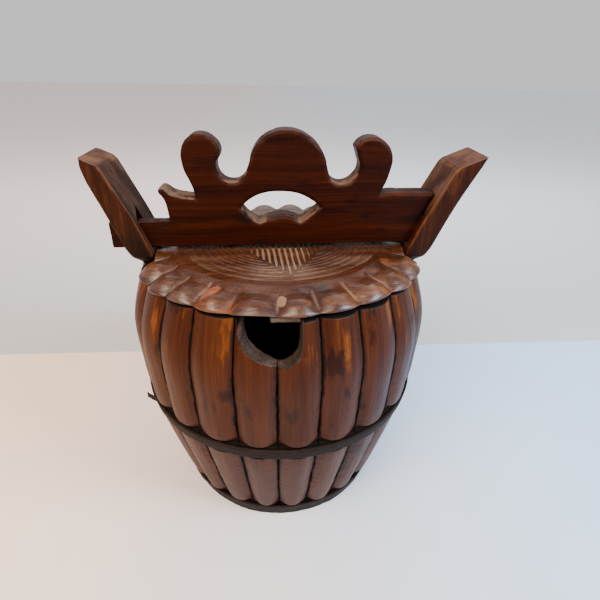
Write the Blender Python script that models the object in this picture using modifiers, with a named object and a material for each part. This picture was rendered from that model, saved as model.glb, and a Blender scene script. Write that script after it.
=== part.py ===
"""Coopered wooden bucket for a teapot: melon-ribbed staves, two ear staves that carry a carved
handle board, a lobed lid and two dark hoops.

Frame: +Z up, origin on the floor at the bucket's axis, spout notch towards -Y, ears along X.
The handle board's long tenon passes through the ear at -X.
"""

import math

import bmesh
import bpy
from mathutils import Matrix

# ---- driving dimensions (metres) ---------------------------------------------------------------

GAP = 0.0003                    # clearance between touching pieces
BACK_STAVES = 10                # evenly wide, between the ears at the back
EAR_HALF_ANGLE = math.radians(8.2)
# Seams between the ten hand-cut front staves, in degrees from the front towards +X
FRONT_SEAMS = (-64.8, -48.2, -32.8, -16.6, -2.1, 12.7, 28.0, 44.6, 62.4)

RIM_HEIGHT = 0.2250
WALL = 0.0125                   # stave thickness at its crown
FLUTE_DEPTH = 0.0045            # how far the crown stands above the seams
# Crown radius of the barrel: (height, radius)
BODY_STATIONS = [(0.000, 0.0950), (0.056, 0.1110), (0.112, 0.1246),
                 (0.150, 0.1281), (0.187, 0.1284), (0.225, 0.1178)]

BASE_BAND_TOP = 0.0153
BASE_BAND_REBATE = 0.0028       # depth cut into the crowns for the base band
BASE_BAND_THICKNESS = 0.0022
MID_HOOP_BOTTOM = 0.1040
MID_HOOP_TOP = 0.1160
MID_HOOP_REBATE = 0.0014
MID_HOOP_THICKNESS = 0.0020
HOOP_SEGMENTS = 88
TAIL_LENGTH = 0.013             # free end of the mid hoop, past its lap
TAIL_ANGLE = math.radians(208)

CROZE_BOTTOM = 0.0112           # groove that holds the bottom boards
CROZE_TOP = 0.0210
CROZE_DEPTH = 0.0030
BOTTOM_BOARD_SEAM = 0.0290      # half the width of the middle bottom board

DOWEL_HEIGHT = 0.1650
DOWEL_RADIUS = 0.0015
DOWEL_HALF_LENGTH = 0.0080

EAR_SHIFT_Y = -0.0020           # the ears' upright part sits slightly forward of the axis
# Ears above the rim: (inner height, inner x, outer height, outer x, half width, corner rounding)
RIGHT_EAR_STATIONS = [(0.2254, 0.1053, 0.2254, 0.1182, 0.0158, 0.0035),
                      (0.2326, 0.1050, 0.2326, 0.1226, 0.0222, 0.0030),
                      (0.2400, 0.1068, 0.2400, 0.1268, 0.0230, 0.0025),
                      (0.2600, 0.1156, 0.2600, 0.1346, 0.0230, 0.0020),
                      (0.2750, 0.1226, 0.2750, 0.1408, 0.0230, 0.0020),
                      (0.2920, 0.1313, 0.2930, 0.1494, 0.0230, 0.0016),
                      (0.3025, 0.1366, 0.3068, 0.1566, 0.0229, 0.0010),
                      (0.3052, 0.1392, 0.3138, 0.1602, 0.0222, 0.0008)]
LEFT_EAR_STATIONS = [(0.2254, 0.1053, 0.2254, 0.1182, 0.0158, 0.0035),
                     (0.2326, 0.1046, 0.2326, 0.1222, 0.0222, 0.0030),
                     (0.2400, 0.1058, 0.2400, 0.1262, 0.0230, 0.0030),
                     (0.2600, 0.1138, 0.2600, 0.1334, 0.0230, 0.0030),
                     (0.2750, 0.1205, 0.2750, 0.1388, 0.0230, 0.0030),
                     (0.2920, 0.1287, 0.2925, 0.1458, 0.0230, 0.0035),
                     (0.3025, 0.1336, 0.3040, 0.1490, 0.0229, 0.0040),
                     (0.3055, 0.1362, 0.3112, 0.1490, 0.0222, 0.0040)]

TOP_TILT = math.radians(-1.1)   # lid and handle board sit this much higher at +X than at -X
LID_BOTTOM = 0.2276
LID_LOBES = 24
LID_STEPS = 96
# Lid edge from the flat top outwards and under: (radius, height) on a lobe and in a groove
LID_LOBE_PROFILE = [(0.0920, 0.2380), (0.1040, 0.2374), (0.1120, 0.2356), (0.1176, 0.2328),
                    (0.1195, 0.2308), (0.1183, 0.2293), (0.1120, 0.2276)]
LID_GROOVE_PROFILE = [(0.0920, 0.2380), (0.1030, 0.2360), (0.1090, 0.2336), (0.1136, 0.2311),
                      (0.1150, 0.2299), (0.1143, 0.2288), (0.1100, 0.2276)]
LID_SEAM_Y = -0.0065            # joint between the two lid boards, under the handle board
LID_NOTCH_X = 0.1030            # where the lid is cut straight to clear the ears
LID_NOTCH_HALF_WIDTH = 0.0255

BATTEN_X = 0.0012
BATTEN_HALF_WIDTH = 0.0104
BATTEN_BOTTOM = 0.2232
BATTEN_DOVETAIL = 0.0036        # how far the batten is let into the lid
BATTEN_FLARE = 0.0018
BATTEN_FRONT = -0.1150
BATTEN_BACK = 0.0980

BOARD_BOTTOM = 0.2402
BOARD_SHIFT = 0.0018            # along X, so that the tilted hump keeps its place
BOARD_FRONT = -0.0175
BOARD_THICKNESS = 0.0220
TENON_TOP = 0.2630
TENON_THICKNESS = 0.0106
TENON_SETBACK = 0.0003
LEFT_TENON_END = -0.1395
RIGHT_TENON_END = 0.1214
SHOULDER_X = -0.0910
MORTISE_RISE_FRONT = 0.0010     # play above the tenon at the mortise's front and back
MORTISE_RISE_BACK = 0.0075

# Spout notch in the rim, seen from the front: (x, height)
NOTCH_OUTLINE = [(-0.0312, 0.2300), (-0.0312, 0.2160), (-0.0282, 0.2080), (-0.0218, 0.2022),
                 (-0.0148, 0.1983), (-0.0087, 0.1960), (-0.0036, 0.1942), (0.0008, 0.1944),
                 (0.0058, 0.1969), (0.0103, 0.2014), (0.0122, 0.2090), (0.0122, 0.2300)]

# Handle board seen from the front: (x, height above its lower edge) in mm, "s" where the
# outline runs smoothly and "c" where it has a corner
BOARD_OUTLINE = [
    (-91.0, 0.0, "c"), (-91.0, 22.0, "c"), (-93.5, 40.0, "s"), (-97.2, 46.6, "s"),
    (-94.6, 49.0, "s"), (-86.0, 44.2, "s"), (-68.2, 40.6, "c"), (-70.6, 50.5, "s"),
    (-75.9, 66.0, "s"), (-74.9, 78.6, "s"), (-68.6, 86.6, "s"), (-60.5, 88.7, "s"),
    (-51.2, 84.8, "s"), (-45.9, 76.8, "s"), (-46.8, 71.4, "s"), (-49.3, 68.6, "c"),
    (-49.4, 62.0, "s"), (-45.2, 54.9, "s"), (-38.6, 52.6, "s"), (-31.0, 55.0, "s"),
    (-25.9, 63.5, "s"), (-22.2, 75.0, "s"), (-12.8, 85.8, "s"), (5.8, 91.0, "s"),
    (23.4, 84.4, "s"), (33.6, 72.4, "s"), (37.2, 59.6, "s"), (40.6, 52.6, "s"),
    (48.4, 50.0, "s"), (57.0, 54.0, "s"), (61.2, 62.0, "s"), (59.0, 72.0, "s"),
    (57.2, 77.4, "c"), (62.4, 83.0, "s"), (71.5, 85.0, "s"), (80.8, 81.2, "s"),
    (87.0, 71.8, "s"), (86.2, 58.6, "s"), (79.6, 40.8, "c"), (86.0, 42.0, "s"),
    (99.0, 41.8, "s"), (124.8, 41.4, "c"), (104.9, 0.0, "c")]
FINGER_HOLE_OUTLINE = [
    (-34.0, 32.4, "c"), (-25.0, 40.2, "s"), (-15.0, 45.0, "s"), (0.0, 46.4, "s"),
    (15.0, 43.4, "s"), (24.2, 38.0, "s"), (31.6, 32.0, "c"), (24.0, 26.0, "s"),
    (15.2, 19.6, "c"), (9.0, 22.8, "s"), (0.0, 24.4, "s"), (-9.6, 22.8, "s"),
    (-19.0, 19.6, "c"), (-26.4, 24.6, "s")]

# Base colour, roughness, metallic
FINISHES = {
    "stave_wood": ((0.26, 0.105, 0.045), 0.42, 0.0),
    "board_wood": ((0.14, 0.045, 0.022), 0.40, 0.0),
    "lid_wood": ((0.30, 0.13, 0.060), 0.42, 0.0),
    "inner_wood": ((0.20, 0.10, 0.055), 0.70, 0.0),
    "pale_wood": ((0.42, 0.29, 0.18), 0.75, 0.0),
    "bamboo": ((0.46, 0.33, 0.17), 0.60, 0.0),
    "dark_iron": ((0.055, 0.050, 0.048), 0.60, 0.7),
}


# ---- scene helpers -------------------------------------------------------------------------------

def clear_scene():
    for obj in list(bpy.data.objects):
        bpy.data.objects.remove(obj)


def new_collection(name):
    collection = bpy.data.collections.new(name)
    bpy.context.scene.collection.children.link(collection)
    return collection


def finish_material(name):
    """The Principled material of one finish, made the first time it is asked for."""
    material = bpy.data.materials.get(name)
    if material is None:
        color, roughness, metallic = FINISHES[name]
        material = bpy.data.materials.new(name)
        material.use_nodes = True
        shader = material.node_tree.nodes["Principled BSDF"]
        shader.inputs["Base Color"].default_value = (*color, 1.0)
        shader.inputs["Roughness"].default_value = roughness
        shader.inputs["Metallic"].default_value = metallic
    return material


def place(name, mesh, collection, finish=None, angle=0.0):
    """An object for a mesh, turned about the bucket's axis."""
    obj = bpy.data.objects.new(name, mesh)
    obj.rotation_euler[2] = angle
    collection.objects.link(obj)
    if finish is not None and not mesh.materials:
        mesh.materials.append(finish_material(finish))
    return obj


def mark_as_cutter(obj):
    obj.hide_render = True
    obj.display_type = "WIRE"


def boolean(obj, cutter, operation="DIFFERENCE"):
    modifier = obj.modifiers.new(cutter.name, "BOOLEAN")
    modifier.operation = operation
    modifier.object = cutter
    modifier.solver = "EXACT"


def baked_mesh(obj, name):
    """The mesh of an object with its modifiers applied; the object itself is removed."""
    evaluated = obj.evaluated_get(bpy.context.evaluated_depsgraph_get())
    mesh = bpy.data.meshes.new_from_object(evaluated)
    mesh.name = name
    bpy.data.objects.remove(obj)
    return mesh


def smooth(mesh, angle_degrees=35.0):
    mesh.shade_smooth()
    mesh.set_sharp_from_angle(angle=math.radians(angle_degrees))


# ---- shape helpers -------------------------------------------------------------------------------

def loft(name, rings):
    """A closed skin over rings of equal point count, capped at both ends."""
    bm = bmesh.new()
    rows = [[bm.verts.new(point) for point in ring] for ring in rings]
    count = len(rings[0])
    for lower, upper in zip(rows, rows[1:]):
        for i in range(count):
            j = (i + 1) % count
            bm.faces.new((lower[i], lower[j], upper[j], upper[i]))
    bm.faces.new(rows[0])
    bm.faces.new(rows[-1])
    bmesh.ops.recalc_face_normals(bm, faces=bm.faces)
    mesh = bpy.data.meshes.new(name)
    bm.to_mesh(mesh)
    bm.free()
    smooth(mesh)
    return mesh


def box_mesh(name, low, high):
    bm = bmesh.new()
    size = [b - a for a, b in zip(low, high)]
    centre = [(a + b) / 2 for a, b in zip(low, high)]
    matrix = Matrix.Translation(centre) @ Matrix.Diagonal((*size, 1.0))
    bmesh.ops.create_cube(bm, size=1.0, matrix=matrix)
    mesh = bpy.data.meshes.new(name)
    bm.to_mesh(mesh)
    bm.free()
    return mesh


def cylinder_mesh(name, radius, half_length, matrix, segments=8):
    bm = bmesh.new()
    bmesh.ops.create_cone(bm, cap_ends=True, segments=segments, radius1=radius, radius2=radius,
                          depth=2 * half_length, matrix=matrix)
    mesh = bpy.data.meshes.new(name)
    bm.to_mesh(mesh)
    bm.free()
    return mesh


def turned_mesh(name, profile, segments, collection):
    """A closed profile of (radius, height) points screwed about the bucket's axis."""
    mesh = bpy.data.meshes.new(name)
    count = len(profile)
    mesh.from_pydata([(r, 0.0, z) for r, z in profile], [(i, (i + 1) % count) for i in range(count)], [])
    obj = place(name, mesh, collection)
    screw = obj.modifiers.new("turn", "SCREW")
    screw.steps = segments
    screw.render_steps = segments
    screw.use_merge_vertices = True
    screw.merge_threshold = 0.00001
    return baked_mesh(obj, name)


def outline_mesh(name, outlines, low_y, high_y, collection):
    """Flat outlines of (x, height, kind) points in metres, standing between two Y planes.

    The first outline is the outside and the others are holes.
    """
    curve = bpy.data.curves.new(name, "CURVE")
    curve.dimensions = "2D"
    curve.fill_mode = "BOTH"
    curve.extrude = (high_y - low_y) / 2
    for outline in outlines:
        spline = curve.splines.new("BEZIER")
        spline.bezier_points.add(len(outline) - 1)
        spline.use_cyclic_u = True
        spline.resolution_u = 4
        for point, (x, height, kind) in zip(spline.bezier_points, outline):
            point.co = (x, height, 0.0)
            handle = "AUTO" if kind == "s" else "VECTOR"
            point.handle_left_type = handle
            point.handle_right_type = handle
    obj = bpy.data.objects.new(name, curve)
    collection.objects.link(obj)
    obj.location[1] = (low_y + high_y) / 2
    obj.rotation_euler[0] = math.pi / 2
    bpy.context.view_layer.update()
    matrix = obj.matrix_world.copy()
    mesh = baked_mesh(obj, name)
    mesh.transform(matrix)
    bm = bmesh.new()
    bm.from_mesh(mesh)
    bmesh.ops.remove_doubles(bm, verts=bm.verts, dist=0.00002)
    bmesh.ops.recalc_face_normals(bm, faces=bm.faces)
    bm.to_mesh(mesh)
    bm.free()
    return mesh


# ---- barrel shape --------------------------------------------------------------------------------

def crown_radius(height):
    """Radius of the staves' crowns at a height: a Catmull-Rom curve through the stations."""
    stations = BODY_STATIONS
    index = 0
    while index < len(stations) - 2 and height > stations[index + 1][0]:
        index += 1
    (z1, r1), (z2, r2) = stations[index], stations[index + 1]
    z0, r0 = stations[index - 1] if index > 0 else (2 * z1 - z2, 2 * r1 - r2)
    z3, r3 = stations[index + 2] if index + 2 < len(stations) else (2 * z2 - z1, 2 * r2 - r1)
    slope1 = (r2 - r0) / (z2 - z0)
    slope2 = (r3 - r1) / (z3 - z1)
    width = z2 - z1
    t = (height - z1) / width
    return ((2 * t**3 - 3 * t**2 + 1) * r1 + (t**3 - 2 * t**2 + t) * width * slope1
            + (3 * t**2 - 2 * t**3) * r2 + (t**3 - t**2) * width * slope2)


def stave_ring(half, height, rebate=None, croze=False):
    """Section of a stave whose crown points to +X: five outer points and a flat inner face.

    A rebate replaces the rounded crown with a plain arc that much below it.
    """
    crown = crown_radius(height)
    ring = []
    for step in (-2, -1, 0, 1, 2):
        t = step / 2
        radius = crown - FLUTE_DEPTH * abs(t) ** 2.4 if rebate is None else crown - rebate
        radius = min(radius, crown - FLUTE_DEPTH * abs(t) ** 2.4)
        angle = t * (half - GAP / (2 * radius))
        ring.append((radius * math.cos(angle), radius * math.sin(angle), height))
    inner = crown - WALL + (CROZE_DEPTH if croze else 0.0)
    half_width = inner * math.tan(half) - GAP / 2
    ring.append((inner, half_width, height))
    ring.append((inner, -half_width, height))
    return ring


def stave_rings(half):
    """Sections of a stave from the floor to the rim, with its croze and its two hoop rebates."""
    step = 0.0004
    base = BASE_BAND_REBATE
    rings = [stave_ring(half, 0.0, base),
             stave_ring(half, CROZE_BOTTOM - step, base),
             stave_ring(half, CROZE_BOTTOM, base, croze=True),
             stave_ring(half, BASE_BAND_TOP, base, croze=True),
             stave_ring(half, BASE_BAND_TOP + step, croze=True),
             stave_ring(half, CROZE_TOP, croze=True),
             stave_ring(half, CROZE_TOP + step)]
    rings += [stave_ring(half, height) for height in (0.047, 0.076, MID_HOOP_BOTTOM - 2 * step)]
    rings += [stave_ring(half, MID_HOOP_BOTTOM - step, MID_HOOP_REBATE),
              stave_ring(half, MID_HOOP_TOP + step, MID_HOOP_REBATE),
              stave_ring(half, MID_HOOP_TOP + 2 * step)]
    rings += [stave_ring(half, height) for height in (0.140, 0.168, 0.192, 0.210, RIM_HEIGHT)]
    return rings


def ear_rings(stations):
    """Sections of the ear above the rim: a thick blade that leans outwards."""
    rings = []
    for inner_z, inner_x, outer_z, outer_x, half, corner in stations:
        outline = [(outer_x - corner, -half), (outer_x, corner - half), (outer_x, 0.0),
                   (outer_x, half - corner), (outer_x - corner, half),
                   (inner_x, half), (inner_x, -half)]
        rise = (outer_z - inner_z) / (outer_x - inner_x)
        lean = min(1.0, max(0.0, (inner_z - RIM_HEIGHT) / 0.0076))
        ring = [(x, y + EAR_SHIFT_Y * lean, inner_z + (x - inner_x) * rise) for x, y in outline]
        rings.append(ring)
    return rings


def dowel_matrix(angle):
    """Places a Z cylinder across the seam at an angle from +X."""
    crown = crown_radius(DOWEL_HEIGHT)
    radius = crown - (FLUTE_DEPTH + WALL) / 2
    turn = Matrix.Rotation(angle, 4, "Z")
    return turn @ Matrix.Translation((radius, 0.0, DOWEL_HEIGHT)) @ Matrix.Rotation(math.pi / 2, 4, "X")


def drill_dowel_holes(obj, half, cutters):
    for side in (1, -1):
        name = f"{obj.name}_dowel_hole_{'left' if side > 0 else 'right'}"
        mesh = cylinder_mesh(name, DOWEL_RADIUS + GAP, DOWEL_HALF_LENGTH + GAP, dowel_matrix(side * half))
        cutter = place(name, mesh, cutters)
        mark_as_cutter(cutter)
        boolean(obj, cutter)


# ---- pieces --------------------------------------------------------------------------------------

def seam_angles():
    """All seam angles from +X, anticlockwise, starting at the left ear's front seam."""
    half = math.degrees(EAR_HALF_ANGLE)
    front = [-90 + half, *FRONT_SEAMS, 90 - half]
    back_width = (180 - 2 * half) / BACK_STAVES
    back = [90 + half + i * back_width for i in range(BACK_STAVES + 1)]
    return [math.radians(angle - 90) for angle in front + back]


def make_staves(parts, cutters):
    """Twenty plain staves; those at the front share the spout notch."""
    outline = [(x, height, "c" if height == NOTCH_OUTLINE[0][1] else "s") for x, height in NOTCH_OUTLINE]
    notch = place("spout_notch", outline_mesh("spout_notch", [outline], -0.140, -0.085, cutters), cutters)
    mark_as_cutter(notch)

    seams = seam_angles()
    number = 0
    for first, last in zip(seams, seams[1:]):
        half = (last - first) / 2
        if abs(half - EAR_HALF_ANGLE) < 0.0001:
            continue
        number += 1
        name = f"stave_{number:02d}"
        pattern = place(f"{name}_pattern", loft(name, stave_rings(half)), cutters)
        drill_dowel_holes(pattern, half, cutters)
        stave = place(name, baked_mesh(pattern, name), parts, "stave_wood", (first + last) / 2)
        left_x, right_x = (crown_radius(RIM_HEIGHT) * math.cos(angle) for angle in (first, last))
        at_front = math.sin(first) < 0 and math.sin(last) < 0
        if at_front and right_x > NOTCH_OUTLINE[0][0] and left_x < NOTCH_OUTLINE[-1][0]:
            boolean(stave, notch)


def tilt(obj):
    """Tips a lid or handle-board mesh about the Y axis at the lid's middle."""
    pivot = Matrix.Translation((0.0, 0.0, BOARD_BOTTOM))
    obj.matrix_world = pivot @ Matrix.Rotation(TOP_TILT, 4, "Y") @ pivot.inverted() @ obj.matrix_world


def make_ears(parts, cutters):
    """Two staves that rise above the rim and hold the handle board's tenons."""
    tenon_back = BOARD_FRONT + TENON_SETBACK + TENON_THICKNESS
    ears = (("ear_stave_right", 1, RIGHT_TENON_END + BOARD_SHIFT + 2 * GAP, RIGHT_EAR_STATIONS),
            ("ear_stave_left", -1, 0.160, LEFT_EAR_STATIONS))
    for name, side, reach, stations in ears:
        rings = stave_rings(EAR_HALF_ANGLE) + ear_rings(stations)
        pattern = place(f"{name}_pattern", loft(name, rings), cutters)
        drill_dowel_holes(pattern, EAR_HALF_ANGLE, cutters)
        mesh = baked_mesh(pattern, name)
        if side < 0:
            mesh.transform(Matrix.Diagonal((-1.0, 1.0, 1.0, 1.0)))
            mesh.flip_normals()
        ear = place(name, mesh, parts, "stave_wood")

        low = (min(side * 0.085, side * reach), BOARD_FRONT, BOARD_BOTTOM - GAP)
        high = (max(side * 0.085, side * reach), tenon_back + GAP, TENON_TOP + MORTISE_RISE_BACK)
        mortise_mesh = box_mesh(f"{name}_mortise", low, high)
        for vertex in mortise_mesh.vertices:
            if vertex.co.z > TENON_TOP and vertex.co.y < BOARD_FRONT + GAP:
                vertex.co.z = TENON_TOP + MORTISE_RISE_FRONT
        mortise = place(f"{name}_mortise", mortise_mesh, cutters)
        tilt(mortise)
        mark_as_cutter(mortise)
        boolean(ear, mortise)


def make_dowels(parts):
    """One bamboo dowel across each seam, which keeps the staves level with each other."""
    for number, angle in enumerate(seam_angles(), 1):
        mesh = cylinder_mesh("stave_dowel", DOWEL_RADIUS, DOWEL_HALF_LENGTH, dowel_matrix(0.0))
        place(f"stave_dowel_{number:02d}", mesh, parts, "bamboo", angle)


def hoop_profile(bottom, top, rebate, thickness):
    """Section of a hoop that lies in its rebate and follows the barrel's slope."""
    inner = [(crown_radius(z) - rebate + GAP, z) for z in (bottom, top)]
    (r_bottom, z_bottom), (r_top, z_top) = inner
    return [(r_top + thickness, z_top), (r_bottom + thickness, z_bottom),
            (r_bottom, z_bottom), (r_top, z_top)]


def make_hoops(parts, cutters):
    profile = hoop_profile(GAP, BASE_BAND_TOP - GAP, BASE_BAND_REBATE, BASE_BAND_THICKNESS)
    mesh = turned_mesh("base_band", profile, HOOP_SEGMENTS, cutters)
    smooth(mesh)
    place("base_band", mesh, parts, "dark_iron")

    profile = hoop_profile(MID_HOOP_BOTTOM, MID_HOOP_TOP, MID_HOOP_REBATE, MID_HOOP_THICKNESS)
    mesh = turned_mesh("mid_hoop", profile, HOOP_SEGMENTS, cutters)
    smooth(mesh)
    hoop = place("mid_hoop", mesh, parts, "dark_iron")

    # The lapped end of the hoop has sprung a little away from the barrel
    middle = (MID_HOOP_BOTTOM + MID_HOOP_TOP) / 2
    radius = crown_radius(middle) - MID_HOOP_REBATE + GAP + MID_HOOP_THICKNESS
    tail_mesh = box_mesh("mid_hoop_tail", (-0.0006, -TAIL_LENGTH, -0.0028), (0.0006, 0.0, 0.0028))
    tail = place("mid_hoop_tail", tail_mesh, cutters)
    lift = Matrix.Rotation(math.radians(25), 4, "Z")
    start = Matrix.Translation((radius - 0.0010, 0.0, middle + 0.0012))
    tail.matrix_world = Matrix.Rotation(TAIL_ANGLE, 4, "Z") @ start @ lift
    mark_as_cutter(tail)
    boolean(hoop, tail, "UNION")


def make_bottom(parts, cutters):
    """Three boards let into the croze."""
    low = CROZE_BOTTOM + GAP
    high = CROZE_TOP - GAP
    radius = crown_radius(CROZE_BOTTOM) - WALL + CROZE_DEPTH - GAP
    seam = BOTTOM_BOARD_SEAM
    strips = {"bottom_board_front": (-radius, -seam - GAP / 2),
              "bottom_board_middle": (-seam + GAP / 2, seam - GAP / 2),
              "bottom_board_back": (seam + GAP / 2, radius)}
    for name, (front, back) in strips.items():
        bm = bmesh.new()
        centre = Matrix.Translation((0.0, 0.0, (low + high) / 2))
        bmesh.ops.create_cone(bm, cap_ends=True, segments=66, radius1=radius, radius2=radius,
                              depth=high - low, matrix=centre)
        for y, normal in ((front, -1), (back, 1)):
            geometry = bm.verts[:] + bm.edges[:] + bm.faces[:]
            cut = bmesh.ops.bisect_plane(bm, geom=geometry, plane_co=(0, y, 0), plane_no=(0, normal, 0),
                                         clear_outer=True)
            edges = [item for item in cut["geom_cut"] if isinstance(item, bmesh.types.BMEdge)]
            if edges:
                bmesh.ops.holes_fill(bm, edges=edges)
        bmesh.ops.recalc_face_normals(bm, faces=bm.faces)
        mesh = bpy.data.meshes.new(name)
        bm.to_mesh(mesh)
        bm.free()
        smooth(mesh)
        place(name, mesh, parts, "inner_wood")


def lid_rings():
    """Rings of the lid from the middle of its top out to the lobed edge and back underneath."""
    rings = []
    for (lobe_r, lobe_z), (groove_r, groove_z) in zip(LID_LOBE_PROFILE, LID_GROOVE_PROFILE):
        ring = []
        for step in range(LID_STEPS):
            angle = 2 * math.pi * step / LID_STEPS
            swell = abs(math.sin(LID_LOBES * (angle - math.pi / 2) / 2)) ** 0.6
            radius = groove_r + (lobe_r - groove_r) * swell
            height = groove_z + (lobe_z - groove_z) * swell
            ring.append((radius * math.cos(angle), radius * math.sin(angle), height))
        rings.append(ring)
    return rings


def batten_mesh(name, grow):
    """The lid's dovetailed batten, or the groove for it when grown by a clearance."""
    low = BATTEN_BOTTOM - grow
    neck = LID_BOTTOM
    high = LID_BOTTOM + BATTEN_DOVETAIL + grow
    half = BATTEN_HALF_WIDTH + grow
    section = [(-half, low), (half, low), (half - BATTEN_FLARE, neck), (half, high),
               (-half, high), (BATTEN_FLARE - half, neck)]
    rings = [[(BATTEN_X + x, y, z) for x, z in section]
             for y in (BATTEN_FRONT - 10 * grow, BATTEN_BACK + grow)]
    return loft(name, rings)


def make_lid(parts, cutters):
    """Two boards held together by the dovetailed batten, notched to clear the ears."""
    groove = place("batten_groove", batten_mesh("batten_groove", GAP), cutters)
    mark_as_cutter(groove)
    tilt(groove)
    notches = []
    for side, name in ((1, "lid_notch_right"), (-1, "lid_notch_left")):
        xs = sorted((side * LID_NOTCH_X, side * 0.130))
        low = (xs[0], EAR_SHIFT_Y - LID_NOTCH_HALF_WIDTH, 0.215)
        high = (xs[1], EAR_SHIFT_Y + LID_NOTCH_HALF_WIDTH, 0.245)
        notch = place(name, box_mesh(name, low, high), cutters)
        mark_as_cutter(notch)
        tilt(notch)
        notches.append(notch)
    for name, front, back in (("lid_board_front", -0.130, LID_SEAM_Y - GAP / 2),
                              ("lid_board_back", LID_SEAM_Y + GAP / 2, 0.130)):
        board = place(name, loft(name, lid_rings()), parts, "lid_wood")
        tilt(board)
        keep_mesh = box_mesh(f"{name}_half", (-0.130, front, 0.215), (0.130, back, 0.250))
        keep = place(f"{name}_half", keep_mesh, cutters)
        mark_as_cutter(keep)
        boolean(board, keep, "INTERSECT")
        boolean(board, groove)
        for notch in notches:
            boolean(board, notch)
    tilt(place("lid_batten", batten_mesh("lid_batten", 0.0), parts, "pale_wood"))


def make_handle_board(parts, cutters):
    """The carved board: curls and a central hump above, a finger hole, and a tenon at each end."""
    def in_metres(outline):
        return [(BOARD_SHIFT + x / 1000, BOARD_BOTTOM + height / 1000, kind) for x, height, kind in outline]

    outlines = [in_metres(BOARD_OUTLINE), in_metres(FINGER_HOLE_OUTLINE)]
    mesh = outline_mesh("handle_board", outlines, BOARD_FRONT, BOARD_FRONT + BOARD_THICKNESS, cutters)
    board = place("handle_board", mesh, parts, "board_wood")
    tilt(board)
    front = BOARD_FRONT + TENON_SETBACK
    for name, low_x, high_x in (("left_tenon", LEFT_TENON_END, SHOULDER_X + 0.012),
                                ("right_tenon", 0.090, RIGHT_TENON_END)):
        low = (low_x + BOARD_SHIFT, front, BOARD_BOTTOM + GAP)
        high = (high_x + BOARD_SHIFT, front + TENON_THICKNESS, TENON_TOP)
        tenon = place(name, box_mesh(name, low, high), cutters)
        tilt(tenon)
        mark_as_cutter(tenon)
        boolean(board, tenon, "UNION")


def main():
    clear_scene()
    parts = new_collection("teapot_bucket")
    cutters = new_collection("cutters")
    make_staves(parts, cutters)
    make_ears(parts, cutters)
    make_dowels(parts)
    make_hoops(parts, cutters)
    make_bottom(parts, cutters)
    make_lid(parts, cutters)
    make_handle_board(parts, cutters)


main()
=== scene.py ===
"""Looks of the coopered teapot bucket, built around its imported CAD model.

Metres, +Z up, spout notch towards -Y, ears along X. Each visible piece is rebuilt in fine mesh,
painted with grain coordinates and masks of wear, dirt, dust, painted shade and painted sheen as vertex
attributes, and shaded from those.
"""

import math

import bmesh
import bpy
import numpy as np
from mathutils import Matrix, Vector


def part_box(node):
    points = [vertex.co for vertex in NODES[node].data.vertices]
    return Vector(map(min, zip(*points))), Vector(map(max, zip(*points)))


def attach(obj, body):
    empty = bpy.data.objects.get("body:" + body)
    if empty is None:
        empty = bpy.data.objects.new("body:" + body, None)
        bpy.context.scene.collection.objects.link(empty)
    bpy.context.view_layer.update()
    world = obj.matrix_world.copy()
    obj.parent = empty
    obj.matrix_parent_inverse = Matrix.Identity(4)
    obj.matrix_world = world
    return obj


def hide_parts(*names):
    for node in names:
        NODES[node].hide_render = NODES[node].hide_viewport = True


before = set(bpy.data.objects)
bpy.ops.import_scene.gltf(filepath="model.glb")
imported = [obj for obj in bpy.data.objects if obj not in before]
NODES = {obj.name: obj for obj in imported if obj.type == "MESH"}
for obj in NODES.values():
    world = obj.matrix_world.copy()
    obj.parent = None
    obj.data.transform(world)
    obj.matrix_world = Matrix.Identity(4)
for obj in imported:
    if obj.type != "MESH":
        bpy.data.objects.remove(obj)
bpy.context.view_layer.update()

# ---- dimensions shared with the CAD --------------------------------------------------------------

MM = 0.001
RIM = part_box("stave_10")[1].z
WALL = 0.0125
BODY_STATIONS = [(0.000, 0.0950), (0.056, 0.1110), (0.112, 0.1246),
                 (0.150, 0.1281), (0.187, 0.1284), (0.225, 0.1178)]
FRONT_SEAMS = (-64.8, -48.2, -32.8, -16.6, -2.1, 12.7, 28.0, 44.6, 62.4)
EAR_HALF = 8.2                  # degrees
BACK_STAVES = 10
HOOP_LOW, HOOP_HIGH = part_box("mid_hoop")[0].z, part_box("mid_hoop")[1].z
BAND_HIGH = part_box("base_band")[1].z
EAR_SHIFT_Y = -0.0020
RIGHT_EAR = [(0.2254, 0.1053, 0.2254, 0.1182, 0.0158, 0.0035),
             (0.2326, 0.1050, 0.2326, 0.1226, 0.0222, 0.0030),
             (0.2400, 0.1068, 0.2400, 0.1268, 0.0230, 0.0025),
             (0.2600, 0.1156, 0.2600, 0.1346, 0.0230, 0.0020),
             (0.2750, 0.1226, 0.2750, 0.1408, 0.0230, 0.0020),
             (0.2920, 0.1313, 0.2930, 0.1494, 0.0230, 0.0016),
             (0.3025, 0.1366, 0.3068, 0.1566, 0.0229, 0.0012),
             (0.3052, 0.1392, 0.3138, 0.1602, 0.0222, 0.0010)]
LEFT_EAR = [(0.2254, 0.1053, 0.2254, 0.1182, 0.0158, 0.0035),
            (0.2326, 0.1046, 0.2326, 0.1222, 0.0222, 0.0030),
            (0.2400, 0.1058, 0.2400, 0.1262, 0.0230, 0.0030),
            (0.2600, 0.1138, 0.2600, 0.1334, 0.0230, 0.0030),
            (0.2750, 0.1205, 0.2750, 0.1388, 0.0230, 0.0030),
            (0.2920, 0.1287, 0.2925, 0.1458, 0.0230, 0.0035),
            (0.3025, 0.1336, 0.3040, 0.1490, 0.0229, 0.0040),
            (0.3055, 0.1362, 0.3112, 0.1490, 0.0222, 0.0040)]
TILT = math.radians(-1.1)       # lid and handle board, about Y
BOARD_BOTTOM = 0.2402
BOARD_SHIFT = 0.0018
BOARD_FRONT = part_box("handle_board")[0].y
BOARD_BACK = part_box("handle_board")[1].y
TENON_TOP = 0.2630
TENON_BACK = -0.0066
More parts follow.
